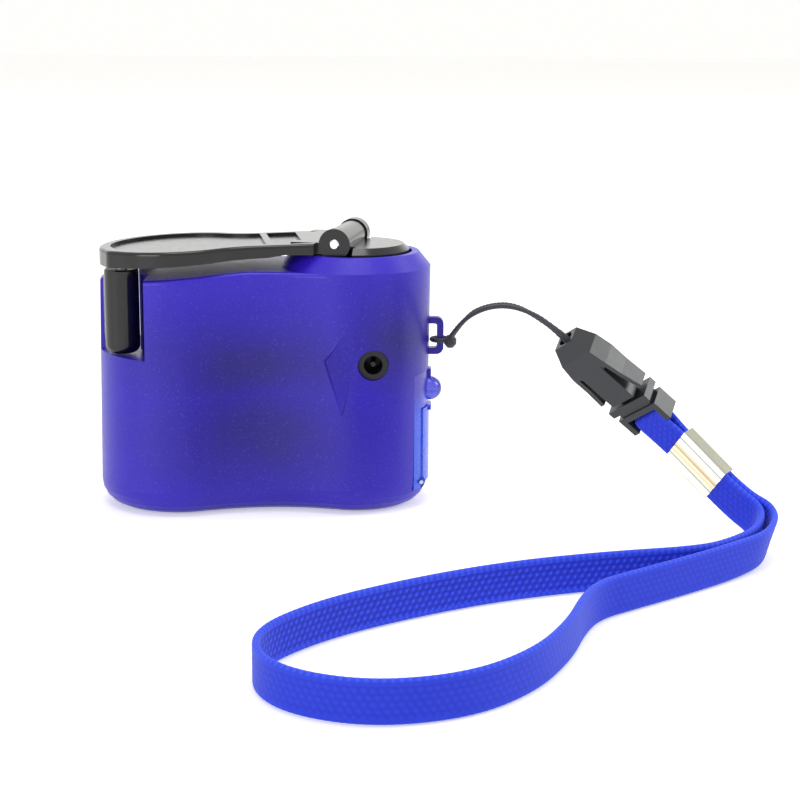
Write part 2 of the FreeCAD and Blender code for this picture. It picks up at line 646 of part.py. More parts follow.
# ---------------------------------------------------------------- gear train
SECOND_X = HUB_X - CRANK_MODULE * (CRANK_TEETH + SECOND_PINION_TEETH) / 2
THIRD_X = SECOND_X - SECOND_MODULE * (SECOND_WHEEL_TEETH
                                      + THIRD_PINION_TEETH) / 2
MOTOR_X = THIRD_X - THIRD_MODULE * (THIRD_WHEEL_TEETH
                                    + MOTOR_PINION_TEETH) / 2
MOTOR_PINION_Z = (LOWER_PLATE_Z + 1.6, LOWER_PLATE_Z + 6.6)
THIRD_WHEEL_Z = (LOWER_PLATE_Z + 2.6, LOWER_PLATE_Z + 4.6)
THIRD_PINION_Z = (THIRD_WHEEL_Z[1], LOWER_PLATE_Z + 8.6)
SECOND_WHEEL_Z = (LOWER_PLATE_Z + 6.1, LOWER_PLATE_Z + 7.9)
SECOND_PINION_Z = (SECOND_WHEEL_Z[1], LOWER_PLATE_Z + 12.8)
CRANK_GEAR_Z = (LOWER_PLATE_Z + 9.1, LOWER_PLATE_Z + 12.1)


def gear(module, teeth, z_range, x, tooth_at):
    """Spur gear with involute flanks. A tooth points along tooth_at degrees.
    A small pinion has full tips; a wheel's are shortened to clear its roots.
    """
    pitch_r = module * teeth / 2
    base_r = pitch_r * math.cos(math.radians(PRESSURE))
    root_r = pitch_r - 1.25 * module
    tip_r = pitch_r + (1.0 if teeth < 17 else 0.8) * module

    def involute(r):
        if r <= base_r:
            return 0.0
        t = math.sqrt((r / base_r) ** 2 - 1)
        return t - math.atan(t)

    half_pitch = (math.pi * module / 2 - BACKLASH) / 2 / pitch_r
    at_pitch = half_pitch + involute(pitch_r)
    flank_radii = [root_r, base_r, pitch_r, tip_r]
    if base_r - root_r < module / 2:
        flank_radii.remove(base_r)
    step = 2 * math.pi / teeth
    z0, z1 = z_range

    def point(r, angle):
        return V(x + r * math.cos(angle), r * math.sin(angle), z0)

    edges, last = [], None
    for i in range(teeth):
        mid = math.radians(tooth_at) + i * step
        up = [point(r, mid - at_pitch + involute(r)) for r in flank_radii]
        down = [point(r, mid + at_pitch - involute(r))
                for r in reversed(flank_radii)]
        outline = up + down
        if last is None:
            first = outline[0]
        else:
            edges.append(Part.makeLine(last, outline[0]))
        for a, b in zip(outline, outline[1:]):
            edges.append(Part.makeLine(a, b))
        last = outline[-1]
    edges.append(Part.makeLine(last, first))
    return Part.Face(Part.Wire(edges)).extrude(V(0, 0, z1 - z0))


def drive_gear():
    """Large gear on the crank shaft, with a boss up to the upper plate."""
    wheel = gear(CRANK_MODULE, CRANK_TEETH, CRANK_GEAR_Z, HUB_X, 180.0)
    boss = cyl(GEAR_BOSS_R, CRANK_GEAR_Z[1], UPPER_PLATE_Z - PLATE_GAP, HUB_X)
    return fused(wheel, boss).cut(through(SHAFT_R, HUB_X))


def second_gear():
    half_tooth = 180.0 / SECOND_PINION_TEETH
    pinion = gear(CRANK_MODULE, SECOND_PINION_TEETH, SECOND_PINION_Z,
                  SECOND_X, half_tooth)
    wheel = gear(SECOND_MODULE, SECOND_WHEEL_TEETH, SECOND_WHEEL_Z,
                 SECOND_X, 180.0)
    sleeve = cyl(SLEEVE_R, SECOND_PINION_Z[1], UPPER_PLATE_Z - END_PLAY, SECOND_X)
    return fused(pinion, wheel, sleeve).cut(
        through(AXLE_R + RUN, SECOND_X))


def third_gear():
    half_tooth = 180.0 / THIRD_PINION_TEETH
    pinion = gear(SECOND_MODULE, THIRD_PINION_TEETH, THIRD_PINION_Z,
                  THIRD_X, half_tooth)
    wheel = gear(THIRD_MODULE, THIRD_WHEEL_TEETH, THIRD_WHEEL_Z,
                 THIRD_X, 180.0)
    foot = cyl(SLEEVE_R, LOWER_PLATE_Z + PLATE + END_PLAY, THIRD_WHEEL_Z[0], THIRD_X)
    sleeve = cyl(SLEEVE_R, THIRD_PINION_Z[1], UPPER_PLATE_Z - END_PLAY, THIRD_X)
    return fused(pinion, wheel, foot, sleeve).cut(
        through(AXLE_R + RUN, THIRD_X))


def motor_pinion():
    half_tooth = 180.0 / MOTOR_PINION_TEETH
    return gear(THIRD_MODULE, MOTOR_PINION_TEETH, MOTOR_PINION_Z, MOTOR_X,
                half_tooth).cut(through(ROTOR_SHAFT_R, MOTOR_X))


PILLARS = [(THIRD_X - 6.2, 10.0), (THIRD_X - 6.2, -10.0),
           (SECOND_X + 3.7, 9.1), (SECOND_X + 3.7, -9.1)]
UPPER_PLATE_LEFT = THIRD_X - 8.2
GEAR_AXLES = [SECOND_X, THIRD_X]


def gear_plate(z, left):
    plate = Part.Face(peanut(WALL + PLATE_GAP, z)).extrude(V(0, 0, PLATE))
    return plate.common(box(left, 60, -60, 60, 0, 60))


def lower_plate():
    plate = gear_plate(LOWER_PLATE_Z, -60)
    z0, z1 = LOWER_PLATE_Z - 1, LOWER_PLATE_Z + PLATE + 1
    cuts = [cyl(AXLE_R, z0, z1, x) for x in GEAR_AXLES]
    cuts.append(cyl(JOURNAL_R + RUN, z0, z1, HUB_X))
    cuts.append(cyl(MOTOR_BOSS_R, z0, z1, MOTOR_X))
    cuts += [tenon(x, y, z0, z1) for x, y in PILLARS]
    cuts.append(box(JACK_X - 3.5, JACK_X + 3.5, -40, -3.7, z0, z1))
    return plate.cut(cuts)


def upper_plate():
    plate = gear_plate(UPPER_PLATE_Z, UPPER_PLATE_LEFT)
    z0, z1 = UPPER_PLATE_Z - 1, UPPER_PLATE_Z + PLATE + 1
    cuts = [cyl(AXLE_R, z0, z1, x) for x in GEAR_AXLES]
    cuts.append(cyl(SHAFT_R + RUN, z0, z1, HUB_X))
    cuts += [tenon(x, y, z0, z1) for x, y in PILLARS]
    return plate.cut(cuts)


def tenon(x, y, z0, z1):
    half = TENON / 2
    return box(x - half, x + half, y - half, y + half, z0, z1)


def hexagon(across, z0, z1, x, y):
    corners = [V(x, y, z0) + V(math.cos(a), math.sin(a), 0) * (across / math.sqrt(3))
               for a in (math.radians(60 * i) for i in range(6))]
    return prism(corners, V(0, 0, z1 - z0))


def pillars():
    """Hexagonal pillars, their square tenons riveted in both gear plates."""
    made = []
    for x, y in PILLARS:
        post = hexagon(PILLAR_ACROSS, LOWER_PLATE_Z + PLATE, UPPER_PLATE_Z, x, y)
        made.append(post.fuse(tenon(x, y, LOWER_PLATE_Z, UPPER_PLATE_Z + PLATE)))
    return Part.makeCompound(made)


def screw(seat, direction, r, length, head_r, head_h):
    """Slotted screw: the head stands behind the seat."""
    top = seat - direction * head_h
    head = rod(top, direction, head_r, head_h)
    other = direction.cross(X)
    slot = prism([top + X * (i * 2 * head_r) + other * (j * SLOT_WIDE / 2)
                  for i, j in ((-1, -1), (1, -1), (1, 1), (-1, 1))],
                 direction * (head_h * 0.45))
    return head.cut(slot).fuse(rod(seat, direction, r, length))


def shell_screws():
    return Part.makeCompound([
        screw(V(x, SEAT_Y, z), -Y, SCREW_R, SEAT_Y + 9.0, SCREW_HEAD_R, 1.6)
        for x, z in SCREWS])


def gear_axle(x, collar_z=None):
    axle = cyl(AXLE_R, LOWER_PLATE_Z, UPPER_PLATE_Z + PLATE, x)
    if collar_z:
        axle = fused(axle, cyl(SLEEVE_R, collar_z, SECOND_WHEEL_Z[0] - FIT, x))
    return axle


def crank_shaft():
    """Stepped steel shaft: hub, bush, gear, then a thin lower journal."""
    thick = cyl(SHAFT_R, CRANK_GEAR_Z[0], SHAFT_TOP_Z, HUB_X)
    journal = cyl(JOURNAL_R, LOWER_PLATE_Z - 1.3, CRANK_GEAR_Z[0], HUB_X)
    groove = cyl(JOURNAL_R + 1, *CLIP_Z, HUB_X).cut(through(GROOVE_R, HUB_X))
    return fused(thick, journal).cut(groove)


def shaft_clip():
    """Spring clip in the groove below the lower plate."""
    z0, z1 = CLIP_Z
    ring = cyl(CLIP_R, z0, z1, HUB_X).cut(cyl(GROOVE_R, z0 - 1, z1 + 1, HUB_X))
    return ring.cut(box(HUB_X, HUB_X + 5, -0.6, 0.6, z0 - 1, z1 + 1))


# ----------------------------------------------------------------- generator
def motor_can():
    """Drawn steel can, its bearing boss pressed into the lower gear plate."""
    can = cyl(MOTOR_R, MOTOR_BASE_Z + CAP_PLATE, LOWER_PLATE_Z, MOTOR_X)
    rim = [e for e in can.Edges if abs(e.BoundBox.ZMin - LOWER_PLATE_Z) < 1e-3
           and e.Length > 10]
    can = can.makeChamfer(0.6, rim)
    can = can.cut(cyl(MOTOR_R - CAN_WALL, 0, LOWER_PLATE_Z - CAN_WALL,
                      MOTOR_X))
    boss = cyl(MOTOR_BOSS_R, LOWER_PLATE_Z, LOWER_PLATE_Z + PLATE, MOTOR_X)
    return can.fuse(boss).cut(through(ROTOR_SHAFT_R + RUN, MOTOR_X))


def motor_end_cap():
    """Plate that closes the can, on the foot that carries the motor."""
    cap = cyl(MOTOR_R, MOTOR_BASE_Z, MOTOR_BASE_Z + CAP_PLATE, MOTOR_X)
    foot = cyl(CAP_FOOT_R, WALL + RUN, MOTOR_BASE_Z, MOTOR_X)
    return fused(cap, foot).cut(
        cyl(ROTOR_SHAFT_R + RUN, MOTOR_BASE_Z - 1, ABOVE, MOTOR_X))


def motor_magnets():
    ring = cyl(MOTOR_R - CAN_WALL, 9.0, 26.0, MOTOR_X).cut(
        through(MAGNET_IN_R, MOTOR_X))
    gap = box(MOTOR_X - 3.5, MOTOR_X + 3.5, -20, 20, 0, 40)
    return Part.makeCompound(ring.cut(gap).Solids)


def rotor():
    """Shaft, three-pole core, its coils and the commutator."""
    z0, z1 = ROTOR_Z
    shaft = cyl(ROTOR_SHAFT_R, MOTOR_BASE_Z - 0.7, MOTOR_PINION_Z[1], MOTOR_X)
    hub = cyl(ROTOR_HUB_R, z0, z1, MOTOR_X)
    inner_r = ROTOR_R - POLE_SHOE
    shoe_ring = cyl(ROTOR_R, z0, z1, MOTOR_X).cut(through(inner_r, MOTOR_X))
    pieces, coils = [hub], []
    for i in range(3):
        arm = box(MOTOR_X + 2, MOTOR_X + ROTOR_R - 1, -POLE_HALF, POLE_HALF, z0, z1)
        shoe = shoe_ring.common(prism(
            [V(MOTOR_X, 0, 0), V(MOTOR_X + 20, -18, 0),
             V(MOTOR_X + 20, 18, 0)], V(0, 0, 40)))
        coil = box(MOTOR_X + 3.4, MOTOR_X + inner_r - 0.3, -COIL_HALF, COIL_HALF,
                   z0 - POLE_SHOE, z1 + POLE_SHOE)
        coil = coil.cut(box(MOTOR_X, MOTOR_X + 20, -POLE_HALF, POLE_HALF, z0, z1))
        coil = coil.common(prism(
            [V(MOTOR_X + 1.6, 0, 0), V(MOTOR_X + 20, -26, 0),
             V(MOTOR_X + 20, 26, 0)], V(0, 0, 40)))
        coil = coil.common(through(inner_r - RUN, MOTOR_X)).cut(hub)
        for piece, keep in ((arm, pieces), (shoe, pieces), (coil, coils)):
            keep.append(piece.rotated(V(MOTOR_X, 0, 0), Z, 120 * i))
    bore = through(ROTOR_SHAFT_R, MOTOR_X)
    core = fused(*pieces).cut(bore)
    commutator = cyl(COMMUTATOR_R, MOTOR_BASE_Z + 2 * CAP_PLATE, z0 - 2.2,
                     MOTOR_X).cut(bore)
    slots = [box(MOTOR_X + 1.4, MOTOR_X + 4, -0.2, 0.2, 0, 40).rotated(
        V(MOTOR_X, 0, 0), Z, 60 + 120 * i) for i in range(3)]
    return shaft, core, Part.makeCompound(coils), commutator.cut(slots)


def motor_brushes():
    """Two leaf brushes reaching from the end cap to the commutator."""
    brushes = []
    for s in (-1, 1):
        y0, y1 = sorted(s * y for y in BRUSH)
        brushes.append(box(MOTOR_X - 1.0, MOTOR_X + 4.0, y0, y1,
                           MOTOR_BASE_Z + CAP_PLATE, MOTOR_BASE_Z + 3.6))
    return Part.makeCompound(brushes)


def motor_leads():
    """Two insulated wires along the floor from the generator to the board."""
    leads = []
    for s in (-1, 1):
        route = [V(MOTOR_X + 6, s * 2.0, MOTOR_BASE_Z - 0.6),
                 V(4.0, s * 0.9, 3.0),
                 V(10.5, BOARD_Y - 0.6, 5.0 + 0.6 * (s + 1))]
        leads.append(tube(route, 0.5)[0])
    return Part.makeCompound(leads)


# --------------------------------------------------------------------- crank
def crank_hub():
    """Turning disc in the collar: half plate, hinge barrel and ear slots."""
    disc = cyl(HUB_R, HUB_Z, HUB_Z + HUB_DISC, HUB_X)
    plate = cyl(HUB_R, HUB_Z, HUB_PLATE_TOP - HUB_PLATE_BEVEL, HUB_X).fuse(
        Part.makeCone(HUB_R, HUB_R - HUB_PLATE_BEVEL, HUB_PLATE_BEVEL,
                      V(HUB_X, 0, HUB_PLATE_TOP - HUB_PLATE_BEVEL)))
    plate = plate.common(hinge_box(1.0, 30, -20, 20, HUB_Z, ABOVE))
    plate = plate.cut([hinge_box(-9, EAR_R + 0.5, s0, s1,
                                 HUB_Z + HUB_DISC, ABOVE)
                       for s0, s1 in ((EAR_IN - 0.35, 20), (-20, 0.35 - EAR_IN))])
    web = hinge_box(-2.0, 3.2, -BARREL_HALF, BARREL_HALF, HUB_Z + 1, HINGE_Z - 1)
    barrel = rod(hinge_point(0, -BARREL_HALF, HINGE_Z), HINGE_DIR, BARREL_R,
                 2 * BARREL_HALF)
    hub = fused(disc, plate, web, barrel)
    pin_bore = rod(hinge_point(0, -20, HINGE_Z), HINGE_DIR, PIN_R + RUN, 40)
    shaft_bore = cyl(SHAFT_R, HUB_Z - 1, SHAFT_TOP_Z, HUB_X)
    return hub.cut([pin_bore, shaft_bore])


def arm_top(x):
    left, right = ARM_SLOPE_X
    slope = (ARM_TOP_NECK_Z - ARM_TOP_LEFT_Z) / (right - left)
    return ARM_TOP_LEFT_Z + slope * (x - left)


def axle_top():
    """The knob's axle ends inside the arm, below its sunk panel."""
    return arm_top(KNOB_X) - ARM_POCKET - KNOB_COVER


def arm_block():
    """The arm's height range: its sloping top and its stepped underside."""
    over = RIM_Z + ARM_OVER_RIM
    left_z = ARM_TOP_LEFT_Z - ARM_LEFT_THICK
    rim_left = HUB_X - HEAD_R_TOP - 1.5
    return prism([V(14, -40, arm_top(14)), V(FAR_LEFT, -40, arm_top(FAR_LEFT)),
                  V(FAR_LEFT, -40, left_z - 0.75), V(rim_left, -40, over - 0.55),
                  V(rim_left + 3, -40, over), V(14, -40, over)], V(0, 80, 0))


def arm_outline(inset):
    """Plan of the arm: paddle, knob corner and neck, all tangent arcs."""
    r, boss_r = ARM_R - inset, KNOB_BOSS_R - inset
    half, hollow = NECK_HALF - inset, NECK_HOLLOW + inset
    paddle = V(ARM_X, 0, BELOW)
    boss = V(KNOB_X + 0.25, KNOB_Y - 0.2, BELOW)
    end_x = NECK_END_X + 8

    def on(centre, radius, degrees):
        a = math.radians(degrees)
        return centre + V(math.cos(a), math.sin(a), 0) * radius

    # angles of the two lines that touch both the paddle and the knob corner
    gap = boss - paddle
    heading = math.degrees(math.atan2(gap.y, gap.x)) % 360
    spread = math.degrees(math.acos((r - boss_r) / gap.Length))
    a0, a1 = heading + spread, heading - spread
    # hollow arcs that lead the paddle into the neck
    hx = math.sqrt((r + hollow) ** 2 - (half + hollow) ** 2)
    near, far = (V(ARM_X + hx, s * (half + hollow), BELOW) for s in (-1, 1))
    lean = math.degrees(math.atan2(half + hollow, hx))
    start = V(end_x, -half, BELOW)
    pts = [on(near, hollow, 90), on(near, hollow, 135 - lean / 2),
           on(paddle, r, -lean), on(paddle, r, (a0 - lean - 360) / 2 - 1),
           on(paddle, r, a0), on(boss, boss_r, a0), on(boss, boss_r, heading),
           on(boss, boss_r, a1), on(paddle, r, a1),
           on(paddle, r, (a1 + lean) / 2), on(paddle, r, lean),
           on(far, hollow, 225 + lean / 2), on(far, hollow, 270)]
    edges = [Part.makeLine(start, pts[0]),
             Part.Arc(pts[0], pts[1], pts[2]).toShape(),
             Part.Arc(pts[2], pts[3], pts[4]).toShape(),
             Part.makeLine(pts[4], pts[5]),
             Part.Arc(pts[5], pts[6], pts[7]).toShape(),
             Part.makeLine(pts[7], pts[8]),
             Part.Arc(pts[8], pts[9], pts[10]).toShape(),
             Part.Arc(pts[10], pts[11], pts[12]).toShape(),
             Part.makeLine(pts[12], V(end_x, half, BELOW)),
             Part.makeLine(V(end_x, half, BELOW), start)]
    return Part.Face(Part.Wire(edges)).extrude(V(0, 0, ABOVE - BELOW))


def crank_arm():
    """Wide paddle arm with sunk panels, forked at the hinge."""
    neck_end = hinge_box(-80, -(BARREL_R + 0.9), -40, 40, BELOW, ABOVE)
    plate = arm_outline(0).common(arm_block())
    top = max(plate.Faces, key=lambda f: f.CenterOfMass.z
              if abs(f.normalAt(0, 0).z) > 0.9 else 0)
    rim = [e for e in top.Edges if e.BoundBox.XMax < NECK_END_X + 5]
    plate = plate.makeFillet(ARM_EDGE_ROUND, rim).common(neck_end)
    pocket = arm_outline(ARM_RIM).common(arm_above())
    y = ARM_R
    half_rib = ARM_RIB / 2
    slant = RIB_SLANT / 2
    first = pocket.common(prism(
        [V(-60, -y, 0), V(RIB_X + slant - half_rib, -y, 0),
         V(RIB_X - slant - half_rib, y, 0), V(-60, y, 0)], V(0, 0, ABOVE)))
    second = pocket.common(prism(
        [V(RIB_X + slant + half_rib, -y, 0), V(SECOND_PANEL_X + slant, -y, 0),
         V(SECOND_PANEL_X - slant, y, 0), V(RIB_X - slant + half_rib, y, 0)],
        V(0, 0, ABOVE)))
    plate = plate.cut([first, second])
    rails = []
    for s in (-1, 1):
        s0, s1 = sorted((s * EAR_IN, s * EAR_OUT))
        ear = rod(hinge_point(0, s0, HINGE_Z), HINGE_DIR, EAR_R, s1 - s0)
        rail = hinge_box(-9.0, 0.0, s0, s1, RIM_Z + ARM_OVER_RIM, HINGE_Z + 0.35)
        rails += [ear, rail]
    arm = fused(plate, *rails)
    return arm.cut([
        rod(hinge_point(0, -20, HINGE_Z), HINGE_DIR, PIN_R, 40),
        cyl(KNOB_PIN_R, BELOW, axle_top(), KNOB_X, KNOB_Y)])


def arm_above():
    """Space over the sunk panels' floor."""
    return prism([V(14, -40, arm_top(14) - ARM_POCKET),
                  V(FAR_LEFT, -40, arm_top(FAR_LEFT) - ARM_POCKET),
                  V(FAR_LEFT, -40, ABOVE), V(14, -40, ABOVE)], V(0, 80, 0))


def hinge_pin():
    pin = rod(hinge_point(0, -PIN_HALF, HINGE_Z), HINGE_DIR, PIN_R,
              2 * PIN_HALF)
    ends = [e for e in pin.Edges if e.Length < 7 and e.Length > 5]
    return pin.makeChamfer(0.2, ends)


def knob_axle():
    foot = KNOB_FOOT_Z + KNOB_END + END_PLAY
    return cyl(KNOB_PIN_R, foot, axle_top(), KNOB_X, KNOB_Y)


def knob():
    z0 = KNOB_FOOT_Z
    body = cyl(KNOB_R, z0, KNOB_TOP_Z, KNOB_X, KNOB_Y)
    low = [e for e in body.Edges if e.BoundBox.ZMax < z0 + 0.01]
    body = body.makeFillet(KNOB_ROUND, low)
    high = [e for e in body.Edges if e.BoundBox.ZMin > KNOB_TOP_Z - 0.01]
    body = body.makeChamfer(0.3, high)
    return body.cut(cyl(KNOB_PIN_R + RUN, z0 + KNOB_END, ABOVE, KNOB_X, KNOB_Y))


# --------------------------------------------------------------- wrist strap
def corners_of(points):
    """Tangent points, centre and radius of the arc at each inner point."""
    found = []
    for a, b, c in zip(points, points[1:], points[2:]):
        u, w = b - a, c - b
        short = min(u.Length, w.Length)
        u.normalize()
        w.normalize()
        turn = math.acos(max(-1.0, min(1.0, u.dot(w))))
        t = 0.45 * short
        r = t / math.tan(turn / 2)
        start, end = b - u * t, b + w * t
        inward = w - u * u.dot(w)
        inward.normalize()
        centre = start + inward * r
        middle = b - centre
        middle.normalize()
        found.append((start, centre + middle * r, end, centre, r, turn))
    return found


def centre_path(points):
    """Straight runs joined by tangent arcs, and the radii of the arcs."""
    edges, at, radii = [], points[0], []
    for start, middle, end, _, r, _ in corners_of(points):
        edges.append(Part.makeLine(at, start))
        edges.append(Part.Arc(start, middle, end).toShape())
        at = end
        radii.append(r)
    edges.append(Part.makeLine(at, points[-1]))
    return Part.Wire(edges), radii


def tube(points, r):
    path, radii = centre_path(points)
    first = points[1] - points[0]
    side = first.cross(Z)
    side.normalize()
    up = side.cross(first)
    up.normalize()
    # an octagon of the round cord's area
    reach = r * math.sqrt(math.pi / math.sqrt(8))
    turns = [math.pi / 4 * i for i in range(8)]
    ring = [points[0] + side * (reach * math.cos(a)) + up * (reach * math.sin(a))
            for a in turns]
    section = Part.makePolygon(ring + ring[:1])
    solid = path.makePipeShell([section], True, False)
    return solid, path, radii


def report_cord(name, solid, length, area, radii):
    print(f"{name}: length {length:.1f} mm, tightest arc {min(radii):.1f} mm, "
          f"volume {solid.Volume:.2f} against {area * length:.2f} mm3")


def lean_frame(start, end):
    """Frame of a piece on the strap: X along it, Y up its width."""
    return frame(start, end - start, ACROSS_STRAP)


def mirrored(half):
    """Closed outline from the points of its upper half."""
    return half + [V(p.x, -p.y, p.z) for p in reversed(half)]


def buckle_socket():
    """Socket on the cord: flared nose, core and two sprung release levers."""
    h, t = SOCKET_HALF, BUCKLE_THICK / 2
    nose, core, mouth = SOCKET_NOSE_HALF, SOCKET_CORE_HALF, SOCKET_MOUTH_X
    shoulder, tip = SOCKET_SHOULDER_X, LEVER_END_X
    body = prism(mirrored([V(0, nose, -t), V(shoulder / 2, nose + 0.7 * (h - nose), -t),
                           V(shoulder, h, -t), V(shoulder + 1.2, core, -t),
                           V(mouth, core, -t)]), V(0, 0, 2 * t))
    levers = []
    for s in (-1, 1):
        lever = prism([V(shoulder - 1.5, s * (h - 1.2), -t), V(shoulder, s * h, -t),
                       V(shoulder + 4, s * (h + 0.35), -t), V(tip, s * LEVER_OUT, -t),
                       V(tip, s * (LEVER_OUT - LEVER_THICK), -t),
                       V(shoulder + 4, s * (h - 0.65), -t)], V(0, 0, 2 * t))
        levers.append(lever)
    # the nose and the levers thin towards their ends
    side = prism([V(-1, 0, 0.75 - t), V(shoulder / 2, 0, -t), V(shoulder, 0, -t),
                  V(tip, 0, 0.9 - t), V(mouth, 0, 0.9 - t), V(mouth, 0, t - 0.9),
                  V(tip, 0, t - 0.9), V(shoulder, 0, t), V(shoulder / 2, 0, t),
                  V(-1, 0, t - 0.75)], V(0, 2 * PLUG_HALF + 4, 0))
    side = side.translated(V(0, -PLUG_HALF - 2, 0))
    whole = prism([V(-1, -core, 0.75 - t), V(shoulder / 2, -core, -t),
                   V(mouth, -core, -t), V(mouth, -core, t), V(shoulder / 2, -core, t),
                   V(-1, -core, t - 0.75)], V(0, 2 * core, 0))
    slim = fused(body, *levers)
    socket = slim.common(side).fuse(slim.common(whole)).removeSplitter()
    bore = box(TONGUE_X - 0.5, mouth + 1, -TONGUE_HALF - 0.25, TONGUE_HALF + 0.25,
               -TONGUE_THICK / 2 - 0.2, TONGUE_THICK / 2 + 0.2)
    return socket.cut([bore, rod(V(-2, 0, 0), X, CORD_HOLE_R, 2 + CORD_HOLE)])


def buckle_plug(length):
    """Plug on the strap: tongue, flange, neck and the frame with its bar."""
    t, half, frame_x = BUCKLE_THICK / 2, PLUG_HALF, PLUG_FRAME_X
    x0, x1 = FLANGE_X
    flange = box(x0, x1, -half, half, -t, t)
    tongue = box(TONGUE_X, x0, -TONGUE_HALF, TONGUE_HALF, -TONGUE_THICK / 2,
                 TONGUE_THICK / 2)
    neck = box(x1, frame_x, 1.1 - half, half - 1.1, 0.6 - t, t - 0.6)
    block = box(frame_x, length, -half, half, 0.3 - t, t - 0.3)
    window = box(frame_x + PLUG_RAIL, length + 1, PLUG_RAIL - half, half - PLUG_RAIL,
                 -t - 1, t + 1)
    bar = rod(V(length - BAR_R - 0.15, PLUG_RAIL / 2 - half, 0), Y, BAR_R,
              2 * half - PLUG_RAIL)
    return fused(tongue, flange, neck, block.cut(window), bar)


def buckle():
    place = lean_frame(BUCKLE_START, BUCKLE_END)
    length = (BUCKLE_END - BUCKLE_START).Length
    return placed(buckle_socket(), place), placed(buckle_plug(length), place)


def section_wire(place, wide, thick):
    w, t = wide / 2, thick / 2
    pts = [place.multVec(V(0, y, z))
           for y, z in ((-w, -t), (w, -t), (w, t), (-w, t))]
    return Part.makePolygon(pts + pts[:1])


def strap_end_loop():
    """Short strap loop round the buckle's bar, closing into the clip."""
    place = lean_frame(BUCKLE_START, BUCKLE_END)
    length = (BUCKLE_END - BUCKLE_START).Length
    bar_x, bar_r = length - BAR_R - 0.15, BAR_R + RUN
    t, w = 1.0, STRAP_WIDE / 2 - 0.3
    bend = rod(V(bar_x, -w, 0), Y, bar_r + t, 2 * w)
    bend = bend.common(box(bar_x - 5, bar_x, -w, w, -5, 5))
    legs = box(bar_x, length + 0.9, -w, w, -bar_r - t, bar_r + t)
    loop = fused(bend, legs).cut(
        [rod(V(bar_x, -w - 1, 0), Y, bar_r, 2 * w + 2),
         box(bar_x, length + 2, -w - 1, w + 1, -bar_r, bar_r)])
    loop = placed(loop, place)
    seat = place.multiply(FreeCAD.Placement(V(length + 0.9, 0, 0),
                                            FreeCAD.Rotation()))
    clip = lean_frame(CLIP_START, CLIP_END)
    throat = Part.makeLoft(
        [section_wire(seat, 2 * w, 2 * (bar_r + t)),
         section_wire(clip, 2 * w, CLIP_THICK - 1.0)], True, True)
    return loop.fuse(throat).removeSplitter()


def crimp_clip():
    """Folded metal clip, fluted along its length, round both strap ends."""
    length = (CLIP_END - CLIP_START).Length
    w, t = CLIP_WIDE / 2, CLIP_THICK / 2
    clip = box(0, length, -w, w, -t, t)
    ends = [e for e in clip.Edges if abs(e.Length - length) < 1e-6]
    clip = clip.makeFillet(0.7, ends)
    flutes = []
    for side in (-1, 1):
        for y in (-0.5 * w, 0.0, 0.5 * w):
            flutes.append(rod(V(-1, y, side * (t + 0.55)), X, 0.8, length + 2))
    return placed(clip.cut(flutes), lean_frame(CLIP_START, CLIP_END))


def lanyard_strap():
    """Flat strap: a long loop standing on edge, and its neck to the clip."""
    z = FLOOR_GAP
    points = [V(x, y, z) for x, y in STRAP]
    half = STRAP_THICK / 2
    path, radii = centre_path(points)
    sides = {-1: [], 1: []}
    ends = {}
    for side in (-1, 1):
        across = [(b - a).cross(Z) for a, b in ((points[0], points[1]),
                                                (points[-2], points[-1]))]
        for a in across:
            a.normalize()
        at = points[0] + across[0] * (side * half)
        ends[side] = [at]
        for start, middle, end, centre, r, _ in corners_of(points):
            turn_side = (start - centre).cross(end - centre).z
            grow = half * side * (1 if turn_side > 0 else -1)
            trio = [centre + (p - centre) * ((r + grow) / r)
                    for p in (start, middle, end)]
            sides[side].append(Part.makeLine(at, trio[0]))
            sides[side].append(Part.Arc(*trio).toShape())
            at = trio[2]
        last = points[-1] + across[1] * (side * half)
        sides[side].append(Part.makeLine(at, last))
        ends[side].append(last)
    caps = [Part.makeLine(ends[-1][i], ends[1][i]) for i in (0, 1)]
    ring = Part.Wire(Part.__sortEdges__(sides[-1] + sides[1] + caps))
    band = Part.Face(ring).extrude(V(0, 0, STRAP_WIDE))
    clip = lean_frame(CLIP_START, CLIP_END)
    clip.Base = CLIP_END
    foot = frame(NECK_AT, V(0, -1, 0), V(0, 0, 1))
    neck = Part.makeLoft(
        [section_wire(clip, STRAP_WIDE - 0.6, 2 * STRAP_THICK - 0.2),
         section_wire(foot, STRAP_WIDE, 2 * STRAP_THICK + 0.1)], True, True)
    report_cord("strap", band, path.Length, STRAP_WIDE * STRAP_THICK, radii)
    return band.fuse(neck)


def cords():
    made = []
    for name, route in (("cord a", CORD_A), ("cord b", CORD_B)):
        solid, path, radii = tube([V(*p) for p in route], CORD_D / 2)
        report_cord(name, solid, path.Length, math.pi * CORD_D ** 2 / 4, radii)
        made.append(solid)
    return made


def cord_knot():
    """Hitch round the eye's outer bar, with its overhand knot."""
    bar = V(EYE_OUT_X - EYE_BAR / 2, 0, EYE_Z - 0.9)
    turns = [math.radians(45 * i + 22.5) for i in range(8)]
    section = [bar + V(HITCH_R + CORD_D / 2 * math.cos(a), 0,
                       CORD_D / 2 * math.sin(a)) for a in turns]
    hitch = Part.Face(Part.makePolygon(section + section[:1])).revolve(bar, Z, 360)
    half = [KNOT_AT + V(KNOT_R * x, 0, KNOT_R * z) for x, z in
            ((0, -1), (0.5, -1), (1, -0.4), (1, 0.4), (0.5, 1), (0, 1))]
    knot = Part.Face(Part.makePolygon(half + half[:1])).revolve(KNOT_AT, Z, 360)
    return fused(hitch, knot)


